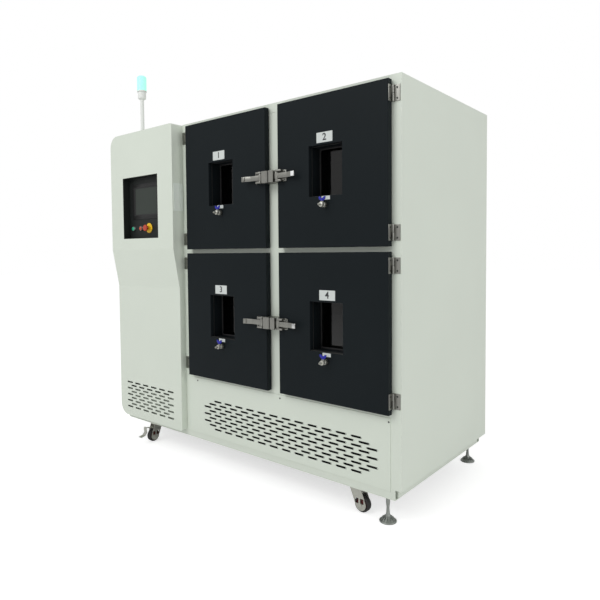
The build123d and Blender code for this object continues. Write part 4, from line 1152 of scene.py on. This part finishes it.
@dataclass
class DoorDressing:
    """Number plate, bare label, window seal and hardware of one door."""

    row: str
    side: str
    number: str
    plate_shift: float
    plate_size: Point = (0.088, 0.046)
    plate_rise: float = 0.008
    plate_thick: float = 0.0012
    digit_lift: float = 0.0013
    digit_size: float = 0.044
    digit_growth: float = 0.0009
    tag_size: Point = (0.046, 0.017)
    tag_shift: Point = (-0.004, 0.003)
    tag_drop: float = 0.001
    tag_thick: float = 0.0008
    glass_lap: float = 0.010
    well_fit: float = 0.0006
    trim_depth: float = 0.024
    sill_fit: float = 0.0004
    sill_depths: Point = (0.002, 0.020)
    sill_high: float = 0.003
    leaf_reach: float = 0.026
    leaf_gap: float = 0.004
    screw_depth: float = 0.0165
    edge_gap: float = 0.006
    base_thick: float = 0.006
    base_size: float = 0.054
    base_screws: Profile = ((0.16, -0.38), (0.16, 0.38), (0.84, -0.38), (0.84, 0.38))
    ear_inner: float = 0.019
    ear_lap: float = 0.0012
    ear_reach: float = 0.030
    ear_front: float = -0.009
    ear_foot: float = 0.009
    ear_back: float = 0.0145
    ear_round: float = 0.0085
    bolt_sink: float = 0.001
    bolt: Profile = ((0, 0), (0.0058, 0), (0.0058, 0.0012), (0.0045, 0.0024), (0, 0.0024))
    arm_high: float = 0.025
    arm_half_thick: float = 0.003
    arm_bend: float = 0.066
    arm_end: Point = (-0.0150, -0.0090)
    lever_hub: Point = (0.0085, 0.0184)
    tip_inset: float = 0.011
    tip_long: float = 0.019
    tip_faces: Point = (0.0149, 0.0085)
    tip_half_high: float = 0.0110
    tip_gap: float = 0.0005
    valve_rise: float = 0.012
    nut_radius: float = 0.0138
    nut_long: float = 0.012
    valve: Profile = ((0, 0.012), (0.0118, 0.012), (0.0118, 0.020), (0.0098, 0.022), (0.0098, 0.029),
                      (0.0112, 0.031), (0.0112, 0.036), (0.0050, 0.037))
    nozzle: Profile = ((0.0050, 0.006), (0.0056, 0.004), (0.0046, 0), (0.0028, 0), (0.0028, 0.006),
                       (0, 0.006))
    stem_radius: float = 0.0078
    stem_top: Point = (0.0060, 0.001)
    wing: Profile = ((0.006, 0), (0.0165, 0.006), (0.0185, 0.019), (0.0105, 0.019), (0.003, 0.012))
    wing_thick: float = 0.006
    wing_drop: float = 0.008
    grip_hub: Profile = ((0, 0), (0.0075, 0), (0.0079, 0.002), (0.0079, 0.006), (0.0060, 0.0089), (0, 0.0089))
    grip_hub_drop: float = 0.009

    @property
    def key(self) -> str:
        """Row and side, as the nodes' names have them."""
        return f"{self.row}_{self.side}"

    def build(self) -> None:
        """Build everything on this door."""
        self.body = f"door_{self.key}"
        self.low, self.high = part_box(f"door_panel_{self.key}")
        self.sign = SIDES[self.side]
        self.free = self.low.x if self.sign > 0 else self.high.x
        self.hinged = self.high.x if self.sign > 0 else self.low.x
        self._plates()
        self._window()
        self._hinges()
        self._latch()
        self._lever()
        self._valve()
        self._grip()

    def _plates(self) -> None:
        """Number plate above the window and the bare label below it."""
        low, high, centre = span(f"window_glass_{self.key}")
        front, (wide, tall) = self.low.y, self.plate_size
        x = (self.low.x + self.high.x) / 2 + self.plate_shift
        z = high.z - self.glass_lap + self.plate_rise + tall / 2
        shape = Shape()
        shape.plate([rectangle(wide, tall, 0.002)], self.plate_thick, (x, front, z), Axis.FRONT, CARD, 0.0003)
        digit = bpy.data.curves.new("number", "FONT")
        digit.body, digit.size = self.number, self.digit_size
        digit.align_x, digit.align_y = "CENTER", "CENTER"
        digit.extrude, digit.offset = 0.0001, self.digit_growth
        lifted = Matrix.Translation((x, front - self.digit_lift, z))
        shape.take(mesh_of(digit), INK, lifted @ Axis.FRONT.value)
        level = low.z + self.glass_lap - self.tag_drop - self.tag_size[1] / 2
        tag = (centre.x + self.tag_shift[self.sign > 0], front, level)
        shape.plate([rectangle(*self.tag_size, 0.001)], self.tag_thick, tag, Axis.FRONT, CARD, 0.0002)
        shape.finished(f"number_plate_{self.key}", self.body)

    def _window(self) -> None:
        """Rubber seal round the pane, an edge trim in the well, and the lower doors' sill."""
        low, high, centre = span(f"window_glass_{self.key}")
        front, lap = self.low.y, self.glass_lap
        wide, tall = high.x - low.x - 2 * lap, high.z - low.z - 2 * lap
        seal = Shape()
        outer = rectangle(wide - self.well_fit, tall - self.well_fit, 0.002)
        trim = front + self.trim_depth
        for rim, radius, thick, y, finish, bevel in ((0.016, 0.006, 0.005, low.y, RUBBER, 0.0012),
                                                     (0.007, 0.004, 0.003, trim, BEZEL_BLACK, 0.0008)):
            opening = rectangle(wide - rim, tall - rim, radius)
            seal.plate([outer, opening], thick, (centre.x, y, centre.z), Axis.FRONT, finish, bevel)
        if self.row == "lower":
            inset, (near, far) = lap + self.sill_fit, self.sill_depths
            seal.box((low.x + inset, front + near, low.z + inset),
                     (high.x - inset, front + far, low.z + inset + self.sill_high), DARK_SCREW, 0.0008)
        seal.finished(f"window_seal_{self.key}", self.body)

    def _hinges(self) -> None:
        """Door leaves with rounded knuckles and their countersunk screws."""
        x, y = JOINTS[f"door_{self.key}_hinge"]["pos_m"][:2]
        shape = Shape()
        barrel, half, gap = HINGE.barrel, HINGE.tall / 2, HINGE.knuckle_gap
        face = self.hinged + self.sign * HINGE.thick
        out = Axis.RIGHT if self.sign > 0 else Axis.LEFT
        for z in HINGE.levels(self.low, self.high):
            shape.box((self.hinged, y - self.leaf_reach, z - half), (face, y - self.leaf_gap, z + half),
                      STEEL, 0.0008)
            shape.box((self.hinged, y - barrel, z + gap), (x, y, z + half), STEEL)
            shape.lathe([(0, gap), (barrel, gap), (barrel, half), (0, half)], (x, y, z), Axis.UP, STEEL, 24)
            HINGE.screws(shape, DOOR_LEAF_SCREW, (face, y - self.screw_depth, z), out)
        shape.finished(f"door_hinges_{self.key}", self.body)

    def _latch(self) -> None:
        """Latch base with round-ended ears."""
        pivot = Vector(JOINTS[f"lever_{self.key}_pivot"]["pos_m"])
        s, front, size = self.sign, self.low.y, self.base_size
        base = Shape()
        x0, x1 = self.free + s * self.edge_gap, self.free + s * (self.edge_gap + size)
        base.plate([rectangle(size, size, 0.006)], self.base_thick, ((x0 + x1) / 2, front, pivot.z),
                   Axis.FRONT, STEEL, 0.001)
        near, far, front_side, back_side = x0 - pivot.x, s * self.ear_reach, self.ear_front, self.ear_back
        ear = softened([(near, self.ear_foot), (near, front_side), (far, front_side), (far, back_side),
                        (near, back_side)], self.ear_round, 5, closed=True)
        top = size / 2 + self.ear_lap
        for foot in (-top, self.ear_inner):
            at = (pivot.x, pivot.y, pivot.z + foot)
            base.plate([ear], top - self.ear_inner, at, Axis.UP, STEEL, 0.0012)
        seat = pivot.z + top - self.bolt_sink
        base.lathe(self.bolt, (pivot.x, pivot.y, seat), Axis.UP, CHROME, 24, 0.0006)
        for u, v in self.base_screws:
            at = (x0 + (x1 - x0) * u, front - self.base_thick, pivot.z + size * v)
            LATCH_SCREW.sink(base, at, Axis.FRONT)
        base.finished(f"latch_base_{self.key}", self.body, [f"door_fittings_{self.key}"])

    def _lever(self) -> None:
        """Lever with a round hub, a swept arm and its end block, which is white on the upper right door as a
        painted highlight.
        """
        x, y, z = JOINTS[f"lever_{self.key}_pivot"]["pos_m"]
        low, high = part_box(f"latch_lever_{self.key}")
        s, half = self.sign, self.arm_half_thick
        tip = (high.x if s > 0 else low.x) - s * self.tip_inset
        nose = (low.x if s > 0 else high.x) - x
        bend, reach, (outer, inner) = s * self.arm_bend, tip - x, self.arm_end
        shape = Shape()
        arm = softened([(nose, -half), (bend, -half), (reach, outer), (reach, inner), (bend, half),
                        (nose, half)], 0.003, 4, closed=True)
        shape.plate([arm], self.arm_high, (x, y, z - self.arm_high / 2), Axis.UP, STEEL, 0.0016)
        hub, end = self.lever_hub
        shape.lathe([(0, -end), (hub, -end), (hub, end), (0, end)], (x, y, z), Axis.UP, STEEL, 32, 0.0015)
        # The upper right lever's end block is white: a painted highlight.
        finish = {"upper_right": TIP_HIGHLIGHT, "lower_right": CHROME}.get(self.key, STEEL)
        end, tall, (near, far) = tip - s * self.tip_gap, self.tip_half_high, self.tip_faces
        shape.box((end - s * self.tip_long, y - near, z - tall), (end, y - far, z + tall), finish, 0.0014)
        shape.finished(f"latch_arm_{self.key}", f"lever_{self.key}", [f"latch_lever_{self.key}"])

    def _valve(self) -> None:
        """Sampling valve with its hexagon, body, outlet and stem."""
        low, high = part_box(f"valve_body_{self.key}")
        x, turn_y = JOINTS[f"handle_{self.key}_turn"]["pos_m"][:2]
        z, long = low.z + self.valve_rise, high.y - low.y
        rise, radius, (neck, chamfer) = high.z - z, self.stem_radius, self.stem_top
        shape = Shape()
        shape.plate([ring(self.nut_radius, 6)], self.nut_long, (x, high.y, z), Axis.FRONT, STEEL, 0.001)
        line = [*self.valve, *[(r, long - back) for r, back in self.nozzle]]
        shape.lathe(line, (x, high.y, z), Axis.FRONT, PLATED, 32, 0.0006)
        stem = [(0, 0), (radius, 0), (radius, rise - chamfer), (neck, rise), (0, rise)]
        shape.lathe(stem, (x, turn_y, z), Axis.UP, STEEL, 24, 0.0006)
        shape.finished(f"sampling_valve_{self.key}", self.body, [f"valve_body_{self.key}"])

    def _grip(self) -> None:
        """The valve's butterfly grip with its hub."""
        x, y = JOINTS[f"handle_{self.key}_turn"]["pos_m"][:2]
        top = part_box(f"valve_handle_{self.key}")[1].z
        left = [(-u, v) for u, v in reversed(self.wing)]
        wings = softened([left[-1], *self.wing, *left[:-1]], 0.003, 3, closed=True)
        grip = Shape()
        grip.plate([wings], self.wing_thick, (x, y + self.wing_thick / 2, top - self.wing_drop),
                   Axis.FRONT, BLUE_GRIP, 0.0014)
        grip.lathe(self.grip_hub, (x, y, top - self.grip_hub_drop), Axis.UP, BLUE_GRIP, 28, 0.0008)
        grip.finished(f"valve_grip_{self.key}", f"handle_{self.key}", [f"valve_handle_{self.key}"])


@dataclass
class FrameHinges:
    """Frame leaves of all the hinges, with knuckles, pins and screws."""

    pin_radius: float = 0.0025
    pin_high: float = 0.022
    face_depth: float = 0.008
    wide: float = 0.030
    column_gap: float = 0.003
    barrel_gap: float = 0.001
    screw_share: float = 0.55

    def build(self) -> None:
        """Build the leaves as one piece on the cabinet."""
        shape = Shape()
        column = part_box("control_column")[1].x
        for row in ROWS:
            for side, s in SIDES.items():
                low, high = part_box(f"door_panel_{row}_{side}")
                x, y = JOINTS[f"door_{row}_{side}_hinge"]["pos_m"][:2]
                wide = self.wide if s > 0 else x - column - self.column_gap
                for z in HINGE.levels(low, high):
                    self._leaf(shape, s, (x, y, z), wide)
        shape.finished("frame_hinges", "cabinet", ["frame_hinge_leaves"])

    def _leaf(self, shape: Shape, s: int, centre: Point, wide: float) -> None:
        """Add one leaf.

        Args:
            shape: The mesh that gets it.
            s: Side of the door that it carries.
            centre: Point of the hinge axis at half height.
            wide: Reach of the leaf from the axis.
        """
        x, y, z = centre
        barrel, tall, thick, gap = HINGE.barrel, HINGE.tall, HINGE.thick, HINGE.knuckle_gap
        foot, face, high = z - tall / 2, y + self.face_depth, tall / 2 - gap
        shape.plate([rectangle(wide + barrel, tall, 0.002)], thick, (x + s * (wide - barrel) / 2, face, z),
                    Axis.FRONT, STEEL, 0.0006)
        for radius, top, at, finish, sides in ((barrel, high, foot, STEEL, 24),
                                               (self.pin_radius, self.pin_high, z, CHROME, 16)):
            shape.lathe([(0, 0), (radius, 0), (radius, top), (0, top)], (x, y, at), Axis.UP, finish, sides)
        shape.box((x, y, foot), (x + s * barrel, face - self.barrel_gap, z - gap), STEEL)
        middle = (x + s * wide * self.screw_share, face - thick, z)
        HINGE.screws(shape, FRAME_LEAF_SCREW, middle, Axis.FRONT)


@dataclass
class RollingGear:
    """Caster wheels with tyres and cores, and the ribbed levelling feet."""

    wheel_radius: float = 0.0375
    wheel_wide: float = 0.032
    tread_high: float = 0.010
    shoulder: Point = (0.004, 0.005)
    core_edge: Profile = ((0, 0.001), (0.002, 0.005))
    core_face: Profile = ((0.012, 0.004), (0.011, 0), (0.0051, 0))
    pad: Profile = ((0, 0), (0.038, 0), (0.038, 0.006), (0.031, 0.0095), (0.015, 0.018), (0.0085, 0.036),
                    (0.0066, 0.056), (0.0066, 0.066), (0.0088, 0.084), (0.0095, 0.108), (0, 0.108))
    nut_foot: float = 0.1087
    nut_high: float = 0.0118
    nut_radius: float = 0.0148
    thread_foot: float = 0.1200
    thread_step: float = 0.0009
    thread_radius: float = 0.0078
    thread_depth: float = 0.0007
    thread_loss: float = 0.121
    thread_end: float = 0.0070
    rib_count: int = 14
    rib_ring: float = 0.0165
    rib_thick: float = 0.0026
    rib_outline: Profile = ((-0.014, 0.022), (0.020, 0.001), (0.020, 0.0035), (0.010, 0.0175),
                            (-0.014, 0.034))

    def build(self) -> None:
        """Build the wheels and feet."""
        for end in ("front", "rear"):
            for side in SIDES:
                self._wheel(f"caster_wheel_{end}_{side}")
        rib = Shape()
        thick = self.rib_thick
        rib.plate([self.rib_outline], thick, (0, thick / 2, 0), Axis.FRONT, CAST_ZINC, 0.0005)
        template, tree = rib.bare("rib_template"), radial_tree()
        for end in ("front", "rear"):
            self._foot(f"levelling_foot_{end}", tree, template)

    def _wheel(self, name: str) -> None:
        """Tyre with rounded shoulders on a dark red core.

        Args:
            name: The wheel's node and body.
        """
        low, high, centre = span(name)
        axis = Axis.RIGHT if high.x - low.x < high.y - low.y else Axis.FRONT
        radius, half = self.wheel_radius, self.wheel_wide / 2
        bed, (rounding, drop) = radius - self.tread_high, self.shoulder
        edge = [(radius - rounding, half), (radius, half - drop)]
        tyre = [(bed, -half), *[(r, -h) for r, h in edge], *reversed(edge), (bed, half), (bed, -half)]
        rim = [*[(bed - inset, half - sunk) for inset, sunk in self.core_edge],
               *[(r, half - sunk) for r, sunk in self.core_face]]
        core = [*[(r, -h) for r, h in reversed(rim)], *rim, (rim[-1][0], -half)]
        wheel = Shape()
        wheel.lathe(tyre, centre, axis, TYRE, 56, 0.003)
        wheel.lathe(core, centre, axis, HUB_RED, 56, 0.001)
        wheel.finished(f"{name}_detail", name, [name])

    def _foot(self, name: str, tree: RepeatTree, template: bpy.types.Object) -> None:
        """Coned pad with radial ribs, a waisted neck, nut and threaded stem.

        Args:
            name: The foot's node and body.
            tree: The tree of the ribs.
            template: One rib.
        """
        _, high, centre = span(name)
        x, y, tall, base = centre.x, centre.y, high.z, self.thread_foot
        shape = Shape()
        shape.lathe(self.pad, (x, y, 0), Axis.UP, CAST_ZINC, 48, 0.0015)
        shape.plate([ring(self.nut_radius, 6)], self.nut_high, (x, y, self.nut_foot), Axis.UP,
                    DARK_SCREW, 0.001)
        turns = [(self.thread_radius - self.thread_depth * (i % 2), base + self.thread_step * i)
                 for i in range(int((tall - self.thread_loss) / self.thread_step))]
        thread = [(0, base), *turns, (self.thread_end, tall), (0, tall)]
        shape.lathe(thread, (x, y, 0), Axis.UP, STEEL, 20, 0.0)
        shape.finished(f"{name}_detail", name, [name])
        values = {"Count": self.rib_count, "Radius": self.rib_ring, "Rib": template,
                  "Finish": CAST_ZINC.material()}
        tree.grow(f"{name}_ribs", [(x, y, 0.0)], values, name, slot="foot_steel")


def dress_nodes() -> None:
    """Give every CAD node its finish."""
    for name, node in frame["nodes"].items():
        finish = next(f for key, f in NODE_FINISHES.items() if name.startswith(key))
        if not node.material_slots:
            node.data.materials.append(finish.material())
        for slot in node.material_slots:
            slot.material = finish.material()
        LOG.info("%s has finish %s", name, finish.name)


def main() -> None:
    """Build the scene in order: camera, light, finishes, then each sub-assembly."""
    logging.basicConfig(level=logging.INFO)
    PhotoCamera().build()
    SoftStudio().build()
    dress_nodes()
    CabinetDressing().build()
    OperatorPanel().build()
    SignalTower().build()
    FrameHinges().build()
    for row, side, number, shift in (("upper", "left", "1", -0.0295), ("upper", "right", "2", -0.0205),
                                     ("lower", "left", "3", -0.0245), ("lower", "right", "4", -0.0105)):
        DoorDressing(row, side, number, shift).build()
    RollingGear().build()


if __name__ == "__main__":
    main()
